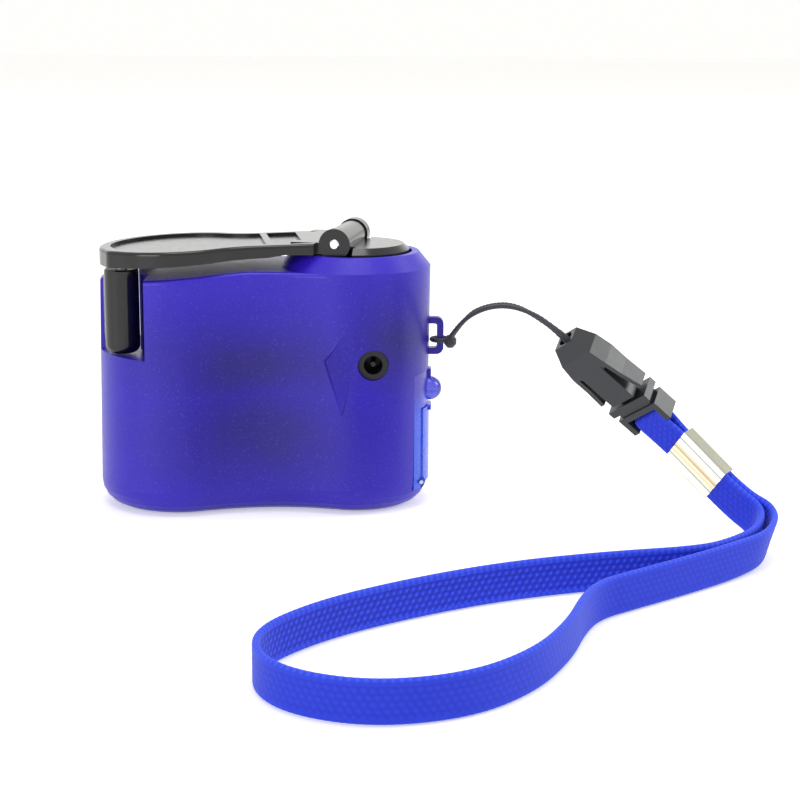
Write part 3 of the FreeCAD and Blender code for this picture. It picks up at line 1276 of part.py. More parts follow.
# --------------------------------------------------------------------- build
def parts():
    front, rear = shells()
    usb_shell, usb_tongue, usb_pins = usb_socket()
    cap, diodes, chip = board_parts()
    shaft, core, coils, commutator = rotor()
    socket, plug = buckle()
    cord_a, cord_b = cords()
    return {
        "front_shell": front,
        "rear_shell": rear,
        "shell_screws": shell_screws(),
        "end_panel": end_panel(),
        "usb_flap": usb_flap(),
        "flap_pins": flap_pins(),
        "usb_socket_shell": usb_shell,
        "usb_socket_tongue": usb_tongue,
        "usb_contacts": usb_pins,
        "led": led(),
        "led_leads": led_leads(),
        "dc_jack": dc_jack(),
        "circuit_board": circuit_board(),
        "storage_capacitor": cap,
        "rectifier_diodes": diodes,
        "regulator_chip": chip,
        "lower_gear_plate": lower_plate(),
        "upper_gear_plate": upper_plate(),
        "plate_pillars": pillars(),
        "second_gear_axle": gear_axle(SECOND_X, THIRD_WHEEL_Z[1] + 0.5),
        "third_gear_axle": gear_axle(THIRD_X),
        "crank_bush": crank_bush(),
        "motor_can": motor_can(),
        "motor_end_cap": motor_end_cap(),
        "motor_magnets": motor_magnets(),
        "motor_brushes": motor_brushes(),
        "motor_leads": motor_leads(),
        "rotor_shaft": shaft,
        "rotor_core": core,
        "rotor_windings": coils,
        "commutator": commutator,
        "motor_pinion": motor_pinion(),
        "crank_hub": crank_hub(),
        "crank_shaft": crank_shaft(),
        "drive_gear": drive_gear(),
        "shaft_clip": shaft_clip(),
        "second_gear": second_gear(),
        "third_gear": third_gear(),
        "crank_arm": crank_arm(),
        "hinge_pin": hinge_pin(),
        "knob_axle": knob_axle(),
        "knob": knob(),
        "cord_knot": cord_knot(),
        "lanyard_cord_a": cord_a,
        "lanyard_cord_b": cord_b,
        "buckle_socket": socket,
        "buckle_plug": plug,
        "strap_end_loop": strap_end_loop(),
        "crimp_clip": crimp_clip(),
        "lanyard_strap": lanyard_strap(),
    }


os.makedirs("parts", exist_ok=True)
for node, shape in parts().items():
    solids = shape.Solids
    kept = solids[0] if len(solids) == 1 else Part.makeCompound(solids)
    kept.exportStep(f"parts/{node}.step")
    print(node, len(solids), "solid(s)", "valid" if kept.isValid() else "BAD",
          round(sum(s.Volume for s in solids), 1))
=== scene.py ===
import bpy
import bmesh
import json
import math
from mathutils import Matrix, Vector


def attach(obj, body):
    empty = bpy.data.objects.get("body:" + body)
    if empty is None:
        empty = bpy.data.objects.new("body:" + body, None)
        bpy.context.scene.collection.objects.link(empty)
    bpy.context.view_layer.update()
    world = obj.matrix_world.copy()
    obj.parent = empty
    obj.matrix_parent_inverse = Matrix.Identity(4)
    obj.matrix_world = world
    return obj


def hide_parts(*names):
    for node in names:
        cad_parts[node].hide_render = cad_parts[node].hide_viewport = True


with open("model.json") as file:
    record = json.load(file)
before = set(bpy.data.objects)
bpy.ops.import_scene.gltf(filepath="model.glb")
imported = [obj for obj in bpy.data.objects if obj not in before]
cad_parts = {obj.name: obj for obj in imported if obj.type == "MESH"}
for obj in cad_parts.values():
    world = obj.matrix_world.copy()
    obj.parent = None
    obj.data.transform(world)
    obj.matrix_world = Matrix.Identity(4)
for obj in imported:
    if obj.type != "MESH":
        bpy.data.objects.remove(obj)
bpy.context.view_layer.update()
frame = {"nodes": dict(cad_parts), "record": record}
scene = bpy.context.scene
MM = 0.001

# ------------------------------------------------------------------ camera
CAM_AZIMUTH, CAM_ELEVATION, CAM_ROLL = -0.34, 12.31, 0.27      # degrees
CAM_DISTANCE = 385.25                                          # mm to the aim
CAM_AIM = Vector((0, 0, 28.0))                                 # mm
AIM_PIXEL = (271.97, 367.16)
FOCAL_PIXELS, FRAME_PIXELS = 1841.5, 800.0
SENSOR = 36.0


def make_camera():
    a, e, r = (math.radians(v) for v in (CAM_AZIMUTH, CAM_ELEVATION, CAM_ROLL))
    ahead = Vector((-math.sin(a) * math.cos(e), math.cos(a) * math.cos(e), -math.sin(e)))
    level = Vector((math.cos(a), math.sin(a), 0))
    upward = level.cross(ahead)
    right = level * math.cos(r) + upward * math.sin(r)
    up = upward * math.cos(r) - level * math.sin(r)
    half = FRAME_PIXELS / 2
    place = CAM_AIM - ahead * CAM_DISTANCE
    place -= right * ((AIM_PIXEL[0] - half) / FOCAL_PIXELS * CAM_DISTANCE)
    place += up * ((AIM_PIXEL[1] - half) / FOCAL_PIXELS * CAM_DISTANCE)
    data = bpy.data.cameras.new("camera")
    data.sensor_width = SENSOR
    data.lens = FOCAL_PIXELS / FRAME_PIXELS * SENSOR
    data.clip_start = 0.01
    camera = bpy.data.objects.new("camera", data)
    turn = Matrix((right, up, -ahead)).transposed().to_4x4()
    camera.matrix_world = Matrix.Translation(place * MM) @ turn
    scene.collection.objects.link(camera)
    scene.camera = camera


# --------------------------------------------------------- node tree helper
class Shader:
    """A material's node tree, with short calls for the nodes used here."""

    def __init__(self, name):
        self.mat = bpy.data.materials.new(name)
        self.mat.use_nodes = True
        self.tree = self.mat.node_tree
        self.shader = self.tree.nodes["Principled BSDF"]

    def node(self, kind, **inputs):
        made = self.tree.nodes.new("ShaderNode" + kind)
        for key, value in inputs.items():
            name = key.replace("_", " ")
            numbered = key[0] == "i" and key[1:].isdigit()
            socket = made.inputs[int(key[1:]) if numbered else name]
            if isinstance(value, bpy.types.NodeSocket):
                self.tree.links.new(value, socket)
            else:
                socket.default_value = value
        return made

    def math(self, operation, a, b=0.0, clamp=False):
        made = self.node("Math", i0=a, i1=b)
        made.operation = operation
        made.use_clamp = clamp
        return made.outputs[0]

    def place(self):
        return self.node("TexCoord").outputs["Object"]

    def noise(self, scale, detail=3.0, vector=None, roughness=0.5):
        return self.node("TexNoise", Vector=vector or self.place(), Scale=scale, Detail=detail,
                         Roughness=roughness).outputs["Fac"]

    def ramp(self, value, *stops):
        """stops: (position, colour) pairs"""
        made = self.node("ValToRGB", Fac=value)
        band = made.color_ramp.elements
        while len(band) < len(stops):
            band.new(0.5)
        for element, (at, colour) in zip(band, stops):
            element.position = at
            element.color = (*colour, 1)
        return made.outputs["Color"]

    def mix(self, amount, a, b):
        made = self.node("Mix")
        made.data_type = "RGBA"
        for socket, value in zip((made.inputs[0], made.inputs[6], made.inputs[7]), (amount, a, b)):
            if isinstance(value, bpy.types.NodeSocket):
                self.tree.links.new(value, socket)
            else:
                socket.default_value = value if socket.type == "VALUE" else (*value, 1)
        return made.outputs[2]

    def bump(self, height, distance, strength=1.0):
        bump = self.node("Bump", Height=height, Distance=distance, Strength=strength)
        previous = self.shader.inputs["Normal"].links
        if previous:
            self.tree.links.new(previous[0].from_socket, bump.inputs["Normal"])
        self.tree.links.new(bump.outputs["Normal"], self.shader.inputs["Normal"])

    def set(self, **inputs):
        for key, value in inputs.items():
            socket = self.shader.inputs[key.replace("_", " ")]
            if isinstance(value, bpy.types.NodeSocket):
                self.tree.links.new(value, socket)
            elif socket.type == "RGBA" and len(value) == 3:
                socket.default_value = (*value, 1)
            else:
                socket.default_value = value
        return self


def srgb(hexa):
    """Linear colour of a hex sRGB string such as 3620A8."""
    out = []
    for i in (0, 2, 4):
        c = int(hexa[i:i + 2], 16) / 255
        out.append(c / 12.92 if c <= 0.04045 else ((c + 0.055) / 1.055) ** 2.4)
    return tuple(out)


# --------------------------------------------------- places on the wrist strap
BUCKLE_START, BUCKLE_END = Vector((58.7, -26.9, 39.2)), Vector((77.3, -22.7, 22.4))
CLIP_START, CLIP_END = Vector((81.6, -25.5, 18.2)), Vector((89.0, -30.5, 11.1))
ACROSS_STRAP = Vector((0.60, -0.61, 0.51))      # way that buckle and clip turn their width


def strap_axes(start, end):
    """Axes of a piece on the strap: along it, over its width, out of its broad face."""
    along = (end - start).normalized()
    face = along.cross(ACROSS_STRAP).normalized()
    return along, face.cross(along), face


# ---------------------------------------------------------------- materials
PAINTED_SHADE_ZONES = ((-3, 31, 24, 10), (-2, 17, 22, 13), (26, 36, 12, 10))   # x, z, width, height of each patch of painted shade from the works behind the wall
CLIP_EDGE = 4.1                # half the clip's width


def body_plastic():
    """Satin blue violet, with painted shade where the works behind the translucent wall would
    darken it.
    """
    s = Shader("body_plastic")
    x, y, z = s.node("SeparateXYZ", Vector=s.place()).outputs
    shade = 0.0
    # painted shade: soft dark patches standing in for the works seen through the translucent wall
    for at_x, at_z, wide, high in PAINTED_SHADE_ZONES:
        dx = s.math("DIVIDE", s.math("SUBTRACT", x, at_x * MM), wide * MM)
        dz = s.math("DIVIDE", s.math("SUBTRACT", z, at_z * MM), high * MM)
        away = s.math("ADD", s.math("MULTIPLY", dx, dx), s.math("MULTIPLY", dz, dz))
        spot = s.math("DIVIDE", 1.0, s.math("ADD", 1.0, away))
        shade = s.math("MAXIMUM", shade, spot)
    cloud = s.math("MULTIPLY", s.math("SUBTRACT", s.noise(70, 3), 0.5), 0.35)
    # painted shade plus a random cloudy tone
    deep = s.math("ADD", shade, cloud, True)
    colour = s.ramp(deep, (0.0, srgb("3A1FD0")), (0.4, srgb("2A12B8")),
                    (0.8, srgb("220E98")), (1.0, srgb("1D0D7E")))
    speck = s.math("MULTIPLY", s.math("SUBTRACT", s.noise(2400, 2), 0.58, True), 1.4, True)
    colour = s.mix(speck, colour, srgb("6A58DC"))
    rough = s.math("ADD", 0.3, s.math("MULTIPLY", s.noise(900, 2), 0.14))
    s.set(Base_Color=colour, Roughness=rough, IOR=1.48)
    s.bump(s.noise(2800, 2), 0.00005, 0.5)
    return s.mat


def azure_plastic():
    """The end panel and flap: azure where light comes through, violet at the top."""
    s = Shader("azure_plastic")
    z = s.node("SeparateXYZ", Vector=s.place()).outputs[2]
    height = s.node("MapRange", Value=z, From_Min=19 * MM, From_Max=25 * MM).outputs[0]
    uneven = s.math("MULTIPLY", s.math("SUBTRACT", s.noise(500), 0.5), 0.3)
    wash = s.math("ADD", height, uneven, True)
    colour = s.ramp(wash, (0.0, srgb("2F5CF2")), (0.55, srgb("3440D8")), (1.0, srgb("3A2AB8")))
    s.set(Base_Color=colour, Roughness=s.math("ADD", 0.22, s.math("MULTIPLY", s.noise(700), 0.12)),
          Subsurface_Weight=0.2, Subsurface_Scale=0.002, Subsurface_Radius=(0.3, 0.4, 1.0))
    s.bump(s.noise(1800, 2), 0.00003, 0.3)
    return s.mat


def plastic(name, colour, rough, grain=2200, depth=0.00003, wear=0.06):
    """Moulded plastic: slightly uneven colour and gloss, fine grain."""
    s = Shader(name)
    soft = s.noise(140, 4)
    paler = tuple(min(1.0, c + wear * 0.4) for c in colour)
    s.set(Base_Color=s.mix(s.math("MULTIPLY", soft, wear * 4, True), colour, paler),
          Roughness=s.math("ADD", rough, s.math("MULTIPLY", s.noise(grain / 3, 3), 0.1)))
    s.bump(s.noise(grain, 2), depth, 0.5)
    return s.mat


def metal(name, colour, rough, brushed=None):
    """Metal with fine scratches. brushed scales the scratches along each axis."""
    s = Shader(name)
    lay = s.node("VectorMath", i0=s.place(), i1=brushed or (1, 1, 1))
    lay.operation = "MULTIPLY"
    scratch = s.noise(1800, 3, lay.outputs[0])
    darker = tuple(c * 0.72 for c in colour)
    s.set(Base_Color=s.mix(scratch, darker, colour), Metallic=1.0,
          Roughness=s.math("ADD", rough - 0.05, s.math("MULTIPLY", scratch, 0.12)))
    s.bump(scratch, 0.00001, 0.4)
    return s.mat


def clip_metal():
    """Nickel with painted reflections in bands across the flutes: dark lines for the dark strap
    and gaps, and gilt, rosy, olive and grey tints.
    """
    s = Shader("clip_metal")
    out = strap_axes(CLIP_START, CLIP_END)[1]
    from_edge = s.node("VectorMath", i0=s.place(), i1=CLIP_START * MM)
    from_edge.operation = "SUBTRACT"
    over = s.node("VectorMath", i0=from_edge.outputs[0], i1=out)
    over.operation = "DOT_PRODUCT"
    at = s.node("MapRange", Value=over.outputs["Value"], From_Min=-CLIP_EDGE * MM,
                From_Max=CLIP_EDGE * MM).outputs[0]
    nickel, gilt_reflection, dark_reflection = (0.93, 0.92, 0.86), (0.9, 0.74, 0.4), (0.1, 0.1, 0.06)
    grey_edge_reflection, gilt_dark_reflection = (0.62, 0.58, 0.52), (0.2, 0.17, 0.08)
    rosy_reflection, olive_edge_reflection = (0.8, 0.7, 0.6), (0.5, 0.5, 0.4)
    # painted reflections laid in bands across the clip's width
    colour = s.ramp(at, (0.0, grey_edge_reflection), (0.1, nickel), (0.255, nickel), (0.275, dark_reflection),
                    (0.3, nickel), (0.43, gilt_reflection), (0.49, gilt_reflection), (0.505, gilt_dark_reflection),
                    (0.525, gilt_reflection), (0.6, rosy_reflection), (0.68, nickel), (0.765, nickel),
                    (0.785, dark_reflection), (0.81, nickel), (0.93, nickel), (0.97, olive_edge_reflection))
    scratch = s.noise(900, 2)
    s.set(Base_Color=s.mix(s.math("MULTIPLY", scratch, 0.25), colour, (0.55, 0.53, 0.48)),
          Metallic=1.0, Roughness=s.math("ADD", 0.1, s.math("MULTIPLY", scratch, 0.08)))
    s.bump(scratch, 0.000005, 0.3)
    return s.mat


def clear_lens():
    """Blue tinted clear epoxy of the torch LED."""
    s = Shader("led_lens")
    haze = s.noise(300, 3)
    s.set(Base_Color=s.mix(haze, srgb("4A4AD8"), srgb("6E74F0")),
          Roughness=s.math("ADD", 0.04, s.math("MULTIPLY", haze, 0.06)),
          Transmission_Weight=0.75, IOR=1.5)
    s.bump(s.noise(900), 0.00001, 0.2)
    return s.mat


def board_green():
    """Circuit board: green lacquer with paler tracks."""
    s = Shader("board")
    tracks = s.node("TexBrick", Vector=s.place(), Scale=420.0, Mortar_Size=0.06)
    tracks.inputs["Color1"].default_value = (*srgb("0F5A2C"), 1)
    tracks.inputs["Color2"].default_value = (*srgb("126A34"), 1)
    tracks.inputs["Mortar"].default_value = (*srgb("1E8A48"), 1)
    s.set(Base_Color=tracks.outputs["Color"],
          Roughness=s.math("ADD", 0.25, s.math("MULTIPLY", s.noise(600), 0.2)))
    s.bump(tracks.outputs["Fac"], 0.00003, 0.4)
    return s.mat


def cord_black():
    """Fibres of the thin twisted cord."""
    s = Shader("cord_black")
    fibre = s.noise(5200, 2)
    s.set(Base_Color=s.mix(fibre, srgb("141619"), srgb("3A3F44")), Roughness=0.62,
          Sheen_Weight=0.25, Sheen_Roughness=0.5)
    s.bump(fibre, 0.00006, 0.7)
    return s.mat


def strap_blue():
    """Braided tape with painted light and shade: bright stitch crests in rows, painted deeper blue
    in the hollows between them.
    """
    s = Shader("strap_blue")
    relief = s.node("Attribute")
    relief.attribute_name = "relief"
    high = relief.outputs["Fac"]
    fibre = s.noise(6000, 2)
    # painted highlight on the braid's crests and painted shade in its hollows, from the relief
    # height
    crest_light_hollow_shade = s.math("ADD", high, s.math("MULTIPLY", s.math("SUBTRACT", fibre, 0.5), 0.35), True)
    colour = s.ramp(crest_light_hollow_shade, (0.0, srgb("0C1A9C")), (0.4, srgb("1730D4")),
                    (0.8, srgb("2444EC")), (1.0, srgb("4A6CFF")))
    s.set(Base_Color=colour, Roughness=0.7, Sheen_Weight=0.35, Sheen_Roughness=0.4,
          Sheen_Tint=(0.45, 0.6, 1.0, 1.0))
    s.bump(fibre, 0.00008, 0.6)
    return s.mat


FINISH = {
    "body_plastic": body_plastic(),
    "azure_plastic": azure_plastic(),
    "black_plastic": plastic("black_plastic", srgb("0D0E11"), 0.14, 2600, 0.00001, 0.01),
    # near-black finish that paints the shade deep in the DC jack's hole
    "jack_painted_shade_black": plastic("jack_painted_shade_black", srgb("050508"), 0.3, 2600, 0.00001, 0.005),
    "buckle_plastic": plastic("buckle_plastic", srgb("24272B"), 0.26, 1900, 0.00002, 0.02),
    "steel": metal("steel", (0.62, 0.62, 0.64), 0.28, (1, 1, 0.1)),
    "bright_steel": metal("bright_steel", (0.9, 0.9, 0.92), 0.12),
    "clip_metal": clip_metal(),
    "bronze": metal("bronze", (0.62, 0.42, 0.2), 0.35),
    "copper": metal("copper", (0.7, 0.32, 0.16), 0.3, (1, 1, 4)),
    "gear_nylon": plastic("gear_nylon", srgb("EDEBE0"), 0.42),
    "frame_plastic": plastic("frame_plastic", srgb("C9C8C2"), 0.5),
    "magnet": plastic("magnet", srgb("2B2B2D"), 0.6, 1500, 0.00006),
    "core_steel": metal("core_steel", (0.34, 0.35, 0.38), 0.42, (1, 1, 9)),
    "board": board_green(),
    "component": plastic("component", srgb("17181B"), 0.45),
    "contact_metal": metal("contact_metal", (0.86, 0.66, 0.3), 0.2),
    "led_lens": clear_lens(),
    "lead_wire": plastic("lead_wire", srgb("8A1010"), 0.45),
    "cord_fabric": cord_black(),
    "strap_fabric": strap_blue(),
}


def finish_cad_nodes():
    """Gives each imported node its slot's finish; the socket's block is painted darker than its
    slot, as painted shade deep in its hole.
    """
    slots = {s["node"]: s["material_slot"] for s in frame["record"]["subparts"]}
    for name, obj in frame["nodes"].items():
        obj.data.materials.clear()
        # the DC jack gets painted shade: a darker black than its slot
        obj.data.materials.append(FINISH["jack_painted_shade_black" if name == "dc_jack" else slots[name]])


# ------------------------------------------------------------ mesh helpers
def add_mesh(name, verts, faces, slot, body="housing", smooth=True):
    mesh = bpy.data.meshes.new(name)
    mesh.from_pydata([Vector(v) * MM for v in verts], [], faces)
    mesh.validate()
    obj = bpy.data.objects.new(name, mesh)
    scene.collection.objects.link(obj)
    if smooth:
        for p in mesh.polygons:
            p.use_smooth = True
    mesh.materials.append(FINISH[slot])
    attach(obj, body)
    return obj


def route_curve(name, points):
    """NURBS route through the given control points, in mm."""
    data = bpy.data.curves.new(name, "CURVE")
    data.dimensions = "3D"
    data.resolution_u = 24
    line = data.splines.new("NURBS")
    line.points.add(len(points) - 1)
    for point, at in zip(line.points, points):
        point.co = (*(Vector(at) * MM), 1)
    line.order_u = 3
    line.use_endpoint_u = True
    return data


def route_points(data, step):
    """Points along the route at even steps, in mm, read from the spline itself."""
    holder = bpy.data.objects.new("route", data)
    scene.collection.objects.link(holder)
    bpy.context.view_layer.update()
    graph = bpy.context.evaluated_depsgraph_get()
    mesh = bpy.data.meshes.new_from_object(holder.evaluated_get(graph))
    raw = [v.co / MM for v in mesh.vertices]
    bpy.data.objects.remove(holder)
    bpy.data.meshes.remove(mesh)
    run = [0.0]
    for a, b in zip(raw, raw[1:]):
        run.append(run[-1] + (b - a).length)
    count = max(2, round(run[-1] / step))
    out, i = [], 0
    for k in range(count + 1):
        s = run[-1] * k / count
        while i < len(run) - 2 and run[i + 1] < s:
            i += 1
        t = (s - run[i]) / max(run[i + 1] - run[i], 1e-9)
        out.append(raw[i].lerp(raw[i + 1], t))
    return out, run[-1]


def tangents(points):
    ends = [points[1] - points[0]]
    ends += [b - a for a, b in zip(points, points[2:])]
    ends += [points[-1] - points[-2]]
    return [t.normalized() for t in ends]


def twisted_cord(points, radius, pitch, strands=2, sides=14, depth=0.16):
    """Tube whose surface bulges in twisted strands."""
    verts, faces = [], []
    along = tangents(points)
    side = along[0].orthogonal().normalized()
    travelled = 0.0
    for i, (p, t) in enumerate(zip(points, along)):
        if i:
            travelled += (p - points[i - 1]).length
            side = (side - t * side.dot(t)).normalized()
        other = t.cross(side)
        for k in range(sides):
            a = 2 * math.pi * k / sides
            groove = abs(math.sin(strands * (a / 2 - math.pi * travelled / pitch)))
            r = radius * (1 - depth * (1 - groove))
            verts.append(p + (side * math.cos(a) + other * math.sin(a)) * r)
    n = len(points)
    for i in range(n - 1):
        for k in range(sides):
            a, b = i * sides + k, i * sides + (k + 1) % sides
            faces.append((a, b, b + sides, a + sides))
    faces.append(tuple(reversed(range(sides))))
    faces.append(tuple(range((n - 1) * sides, n * sides)))
    return verts, faces


# ------------------------------------------------------------------- cords
CORD_D = 1.0
CORD_TWIST, CORD_STEP = 2.4, 0.25      # pitch of the twist, distance between rings
CORD_A = [(37.0, -1.9, 34.6), (39.1, -5.1, 38.6), (43.3, -10.7, 42.4),
          (48.1, -16.8, 44.1), (52.9, -22.9, 43.4), (56.6, -26.7, 41.2),
          (60.0, -27.1, 38.7)]
CORD_B = [(37.3, -0.7, 34.4), (40.3, -3.9, 39.8), (44.6, -9.9, 43.0),
          (49.4, -16.2, 44.2), (54.0, -22.0, 42.3), (57.3, -25.5, 40.2),
          (59.2, -26.3, 38.1)]


def lanyard_cords():
    for name, node, route in (("cord_a", "lanyard_cord_a", CORD_A),
                              ("cord_b", "lanyard_cord_b", CORD_B)):
        points, length = route_points(route_curve(name, route), CORD_STEP)
        obj = add_mesh(name, *twisted_cord(points, CORD_D / 2, CORD_TWIST), "cord_fabric")
        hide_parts(node)


# ------------------------------------------------------------------- strap
STRAP_WIDE, STRAP_THICK = 7.2, 1.3
STRAP_MID = 3.75               # height of the upright band's middle
STRAP_STEP = 0.3               # distance between the band's rings
LANE, STITCH = 1.06, 1.35      # braid's pitch across and along the tape
SELVAGE = 0.45                 # plain rounded edge
SMOOTH_SIDE = 0.35             # share of the braid's relief on the loop's outer side
BAND_ACROSS, EDGE_STEPS = 36, 6        # points over a broad face, steps round an edge
LAYER_OFF, IN_CLIP = 0.7, 1.2  # each layer from the clip's middle, and how far it goes in
INNER_RUN, OUTER_RUN = 5.5, 6.5        # straight starts below the clip
INNER_TWIST, OUTER_TWIST = 22.0, 42.0  # lengths over which the layers turn upright
STRAP = [(80.6, -59.2), (63.2, -63.0), (45.5, -69.0), (28.5, -78.6), (12.5, -91.0),
         (2.8, -105.5), (6.5, -120.0), (20.5, -127.3), (36.0, -123.9), (46.8, -113.3),
         (53.4, -99.5), (57.0, -86.6), (60.6, -79.2), (67.0, -74.0), (77.5, -65.6)]
INNER_TURN = [(95.8, -36.6, 5.4), (94.2, -46.2, 4.0), (87.2, -54.4, 3.75)]
OUTER_TURN = [(97.9, -37.2, 5.6), (95.2, -49.2, 4.2), (87.6, -57.0, 3.85)]


def braid(u, v):
    """Height, 0 to 1, of the braided surface at u mm along and v mm across."""
    column = v / LANE
    lane = math.floor(column)
    inside = column - lane
    stitch = u / STITCH + (0.5 if lane % 2 else 0.0) + 0.25 * (inside - 0.5)
    crest = 0.5 + 0.5 * math.cos(2 * math.pi * stitch)
    return (0.25 + 0.75 * crest) * math.sin(math.pi * inside) ** 0.5


def flat_band(centres, ups, wide, thick, relief=0.14):
    """Braided tape along centres, its width along ups. Returns verts, faces, heights."""
    verts, faces, heights = [], [], []
    along = tangents(centres)
    round_r = thick / 2
    flat = wide / 2 - round_r
    ring = []                  # over the width, through the thickness, and the normal of each
    for side in (1.0, -1.0):
        for k in range(BAND_ACROSS):
            v = side * (-flat + 2 * flat * k / (BAND_ACROSS - 1))
            ring.append((v, side * round_r, side, 0.0))
        for k in range(1, EDGE_STEPS):
            a = math.pi * k / EDGE_STEPS
            nd, nv = side * math.cos(a), side * math.sin(a)
            ring.append((side * flat + round_r * nv, round_r * nd, nd, nv))
    travelled = 0.0
    n = len(ring)
    for i, (p, t, up) in enumerate(zip(centres, along, ups)):
        if i:
            travelled += (p - centres[i - 1]).length
        up = (up - t * up.dot(t)).normalized()
        out = t.cross(up)
        for v, d, nd, nv in ring:
            if abs(v) < flat - SELVAGE:
                h = braid(travelled, v + wide)
            else:
                h = 0.8 + 0.1 * math.sin(travelled * 5)
            if nd == 1.0:
                h = 0.5 + (h - 0.5) * SMOOTH_SIDE
            lift = (h - 1) * relief
            verts.append(p + up * (v + nv * lift) + out * (d + nd * lift))
            heights.append(h)
    for i in range(len(centres) - 1):
        for k in range(n):
            a, b = i * n + k, i * n + (k + 1) % n
            faces.append((a, a + n, b + n, b))
    last = (len(centres) - 1) * n
    faces.append(tuple(range(n)))
    faces.append(tuple(reversed(range(last, last + n))))
    return verts, faces, heights


def with_relief(obj, heights):
    layer = obj.data.attributes.new("relief", "FLOAT", "POINT")
    for item, value in zip(layer.data, heights):
        item.value = value
    return obj


def wrist_strap():
    """The long loop on edge on the table and the neck that twists up into the clip."""
    along, up, face = strap_axes(CLIP_START, CLIP_END)
    loop = [Vector((x, y, STRAP_MID)) for x, y in STRAP]
    start = CLIP_END + face * LAYER_OFF - along * IN_CLIP
    end = CLIP_END - face * LAYER_OFF - along * IN_CLIP
    inner, outer = ([Vector(p) for p in turn] for turn in (INNER_TURN, OUTER_TURN))
    control = [start, start + along * INNER_RUN] + inner + loop
    control += outer[::-1] + [end + along * OUTER_RUN, end]
    points, length = route_points(route_curve("strap_route", control), STRAP_STEP)
    ups, total = [], 0.0
    for i, p in enumerate(points):
        if i:
            total += (p - points[i - 1]).length
        near = min(total / INNER_TWIST, (length - total) / OUTER_TWIST)
        blend = min(1.0, max(0.0, near))
        blend = blend * blend * (3 - 2 * blend)
        ups.append((up * (1 - blend) + Vector((0, 0, 1)) * blend).normalized())
    verts, faces, heights = flat_band(points, ups, STRAP_WIDE, STRAP_THICK)
    obj = with_relief(add_mesh("wrist_strap", verts, faces, "strap_fabric"), heights)
    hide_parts("lanyard_strap")


# ------------------------------------------------ loop on the buckle's bar
BAR_BACK = 1.1                 # bar's axis to the buckle's end
LOOP_R = 1.5                   # middle of the loop's tape, round the bar's axis
LOOP_THICK, LOOP_NARROWER, LOOP_STEP = 1.0, 0.6, 0.2
LOOP_SPREAD, LOOP_IN_CLIP, LOOP_OUT = 0.9, 0.8, 2.0    # legs at the clip


def strap_end_loop():
    """Short braided loop from the clip round the buckle's bar and back."""
    place = strap_axes(BUCKLE_START, BUCKLE_END)
    clip = strap_axes(CLIP_START, CLIP_END)
    bar = (BUCKLE_END - BUCKLE_START).length - BAR_BACK
    turn = []
    for k in range(9):
        a = math.pi * k / 8
        turn.append(BUCKLE_START + place[0] * (bar - LOOP_R * math.sin(a))
                    - place[2] * (LOOP_R * math.cos(a)))

    def leg(side):
        return [CLIP_START + clip[2] * (side * LAYER_OFF) + clip[0] * LOOP_IN_CLIP,
                CLIP_START + clip[2] * (side * LOOP_SPREAD) - clip[0] * LOOP_OUT]

    route = leg(-1) + turn + leg(1)[::-1]
    points = route_points(route_curve("end_loop", route), LOOP_STEP)[0]
    ups = []
    for i in range(len(points)):
        near = abs(2 * i / (len(points) - 1) - 1)
        ups.append((place[1] * (1 - near) + clip[1] * near).normalized())
    verts, faces, heights = flat_band(points, ups, STRAP_WIDE - LOOP_NARROWER, LOOP_THICK)
    obj = with_relief(add_mesh("strap_end_braid", verts, faces, "strap_fabric"), heights)
    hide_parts("strap_end_loop")


# --------------------------------------------------------- forms on the shell
HUB_X = 17.5
LIP_R = (44.0, 44.38)          # the knob passes from 44.46 outwards
LIP_Z = (32.9, 49.4)
LIP_FROM, LIP_TURN, LIP_STEPS = 166, 22.3, 24      # degrees about the hub
PAD_Y = -15.26                 # just in front of the CAD pad's face
PAD_LEFT, PAD_TOP, PAD_BOTTOM, PAD_MIDDLE = (11.8, 32.1), (15.7, 37.7), (15.1, 21.3), (17.2, 31.0)


def track_lip():
    """Thin lip along the inner side of the knob's way out at the back."""
    verts, faces = [], []
    for k in range(LIP_STEPS + 1):
        a = math.radians(LIP_FROM + LIP_TURN * k / LIP_STEPS)
        verts += [(HUB_X + r * math.cos(a), r * math.sin(a), z) for r in LIP_R for z in LIP_Z]
    for k in range(LIP_STEPS):
        i = 4 * k
        for a, b in ((0, 1), (1, 3), (3, 2), (2, 0)):
            faces.append((i + a, i + b, i + 4 + b, i + 4 + a))
    last = 4 * LIP_STEPS
    faces += [(0, 2, 3, 1), (last, last + 1, last + 3, last + 2)]
    add_mesh("track_lip", verts, faces, "body_plastic", smooth=False)


def pad_face():
    """Open sheet over the three-cornered pad: its face and the slopes on its left edges."""
    verts = [(x, PAD_Y, z) for x, z in (PAD_LEFT, PAD_TOP, PAD_MIDDLE, PAD_BOTTOM)]
    for (x, z), dx, dz, back in ((PAD_LEFT, -0.45, 0.0, 0.75), (PAD_TOP, -0.35, 0.35, 0.3),
                                 (PAD_BOTTOM, -0.25, -0.35, 0.3)):
        verts.append((x + dx, PAD_Y + back, z + dz))
    faces = [(0, 3, 2, 1), (4, 0, 1, 5), (4, 6, 3, 0)]
    add_mesh("pad_face", verts, faces, "body_plastic", smooth=False)


# -------------------------------------------------------------------- stage
FLOOR_HALF = 3.0               # m
FLOOR_SEEN, WORLD_SEEN = 0.4, 1.0      # only in what the camera and reflections see
WORLD_LIGHT = 0.5


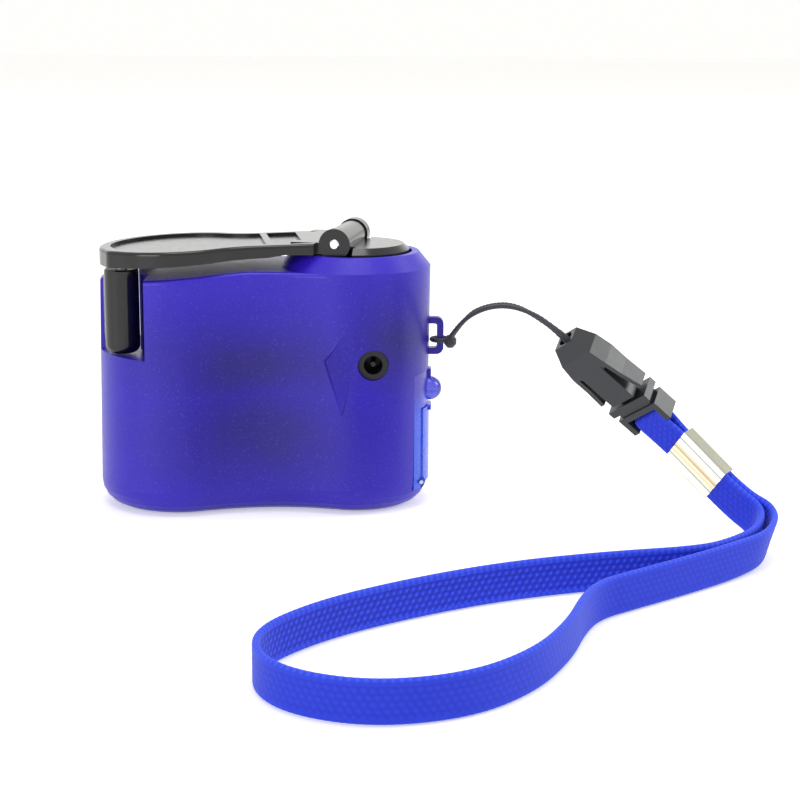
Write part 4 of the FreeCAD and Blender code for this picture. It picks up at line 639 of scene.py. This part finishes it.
def stage():
    """Pale floor and a plain studio sky, brighter to the camera than as a light."""
    mesh = bpy.data.meshes.new("floor")
    bm = bmesh.new()
    bmesh.ops.create_grid(bm, x_segments=8, y_segments=8, size=FLOOR_HALF)
    bm.to_mesh(mesh)
    bm.free()
    floor = bpy.data.objects.new("floor", mesh)
    scene.collection.objects.link(floor)
    s = Shader("floor")
    s.set(Base_Color=s.mix(s.noise(3, 2), (0.93, 0.92, 0.905), (0.95, 0.945, 0.93)),
          Roughness=0.5, Specular_IOR_Level=0.2)
    s.bump(s.noise(40, 2), 0.0001, 0.05)
    seen = s.node("Emission", Color=(1.0, 0.995, 0.985, 1), Strength=FLOOR_SEEN)
    rays = s.node("LightPath").outputs
    most = s.math("MAXIMUM", rays["Is Camera Ray"], rays["Is Glossy Ray"])
    none = s.node("Emission", Strength=0.0)
    extra = s.node("MixShader", i0=most, i1=none.outputs[0], i2=seen.outputs[0])
    both = s.node("AddShader", i0=s.shader.outputs[0], i1=extra.outputs[0])
    s.tree.links.new(both.outputs[0], s.tree.nodes["Material Output"].inputs["Surface"])
    mesh.materials.append(s.mat)

    world = bpy.data.worlds.new("studio")
    scene.world = world
    world.use_nodes = True
    tree = world.node_tree
    light = tree.nodes["Background"]
    light.inputs["Color"].default_value = (1.0, 0.99, 0.97, 1)
    light.inputs["Strength"].default_value = WORLD_LIGHT
    seen = tree.nodes.new("ShaderNodeBackground")
    seen.inputs["Color"].default_value = (1.0, 0.995, 0.975, 1)
    seen.inputs["Strength"].default_value = WORLD_SEEN
    rays = tree.nodes.new("ShaderNodeLightPath")
    most = rays.outputs["Is Camera Ray"]
    for other in ("Is Glossy Ray", "Is Transmission Ray"):
        either = tree.nodes.new("ShaderNodeMath")
        either.operation = "MAXIMUM"
        tree.links.new(most, either.inputs[0])
        tree.links.new(rays.outputs[other], either.inputs[1])
        most = either.outputs[0]
    mix = tree.nodes.new("ShaderNodeMixShader")
    tree.links.new(most, mix.inputs[0])
    tree.links.new(light.outputs[0], mix.inputs[1])
    tree.links.new(seen.outputs[0], mix.inputs[2])
    tree.links.new(mix.outputs[0], tree.nodes["World Output"].inputs["Surface"])


def lamp(name, place, target, wide, high, watts):
    """Soft rectangular lamp at place, in metres, turned to target."""
    data = bpy.data.lights.new(name, "AREA")
    data.shape = "RECTANGLE"
    data.size, data.size_y = wide, high
    data.energy = watts
    obj = bpy.data.objects.new(name, data)
    obj.location = place
    obj.rotation_euler = (Vector(target) - Vector(place)).to_track_quat("-Z", "Y").to_euler()
    scene.collection.objects.link(obj)


scene.view_settings.view_transform = "Standard"
make_camera()
finish_cad_nodes()
lanyard_cords()
wrist_strap()
strap_end_loop()
track_lip()
pad_face()
stage()
lamp("overhead", (0.0, -0.05, 1.0), (0.0, 0.0, 0.03), 0.5, 0.5, 3.2)
lamp("left_front", (-0.85, -0.95, 0.5), (0, 0, 0.03), 0.7, 0.6, 5.0)
lamp("right", (1.05, 0.1, 0.64), (0, 0, 0.03), 0.5, 0.5, 4.5)
lamp("behind", (0.0, 1.5, 0.56), (0, 0, 0.05), 2.2, 0.8, 2.6)
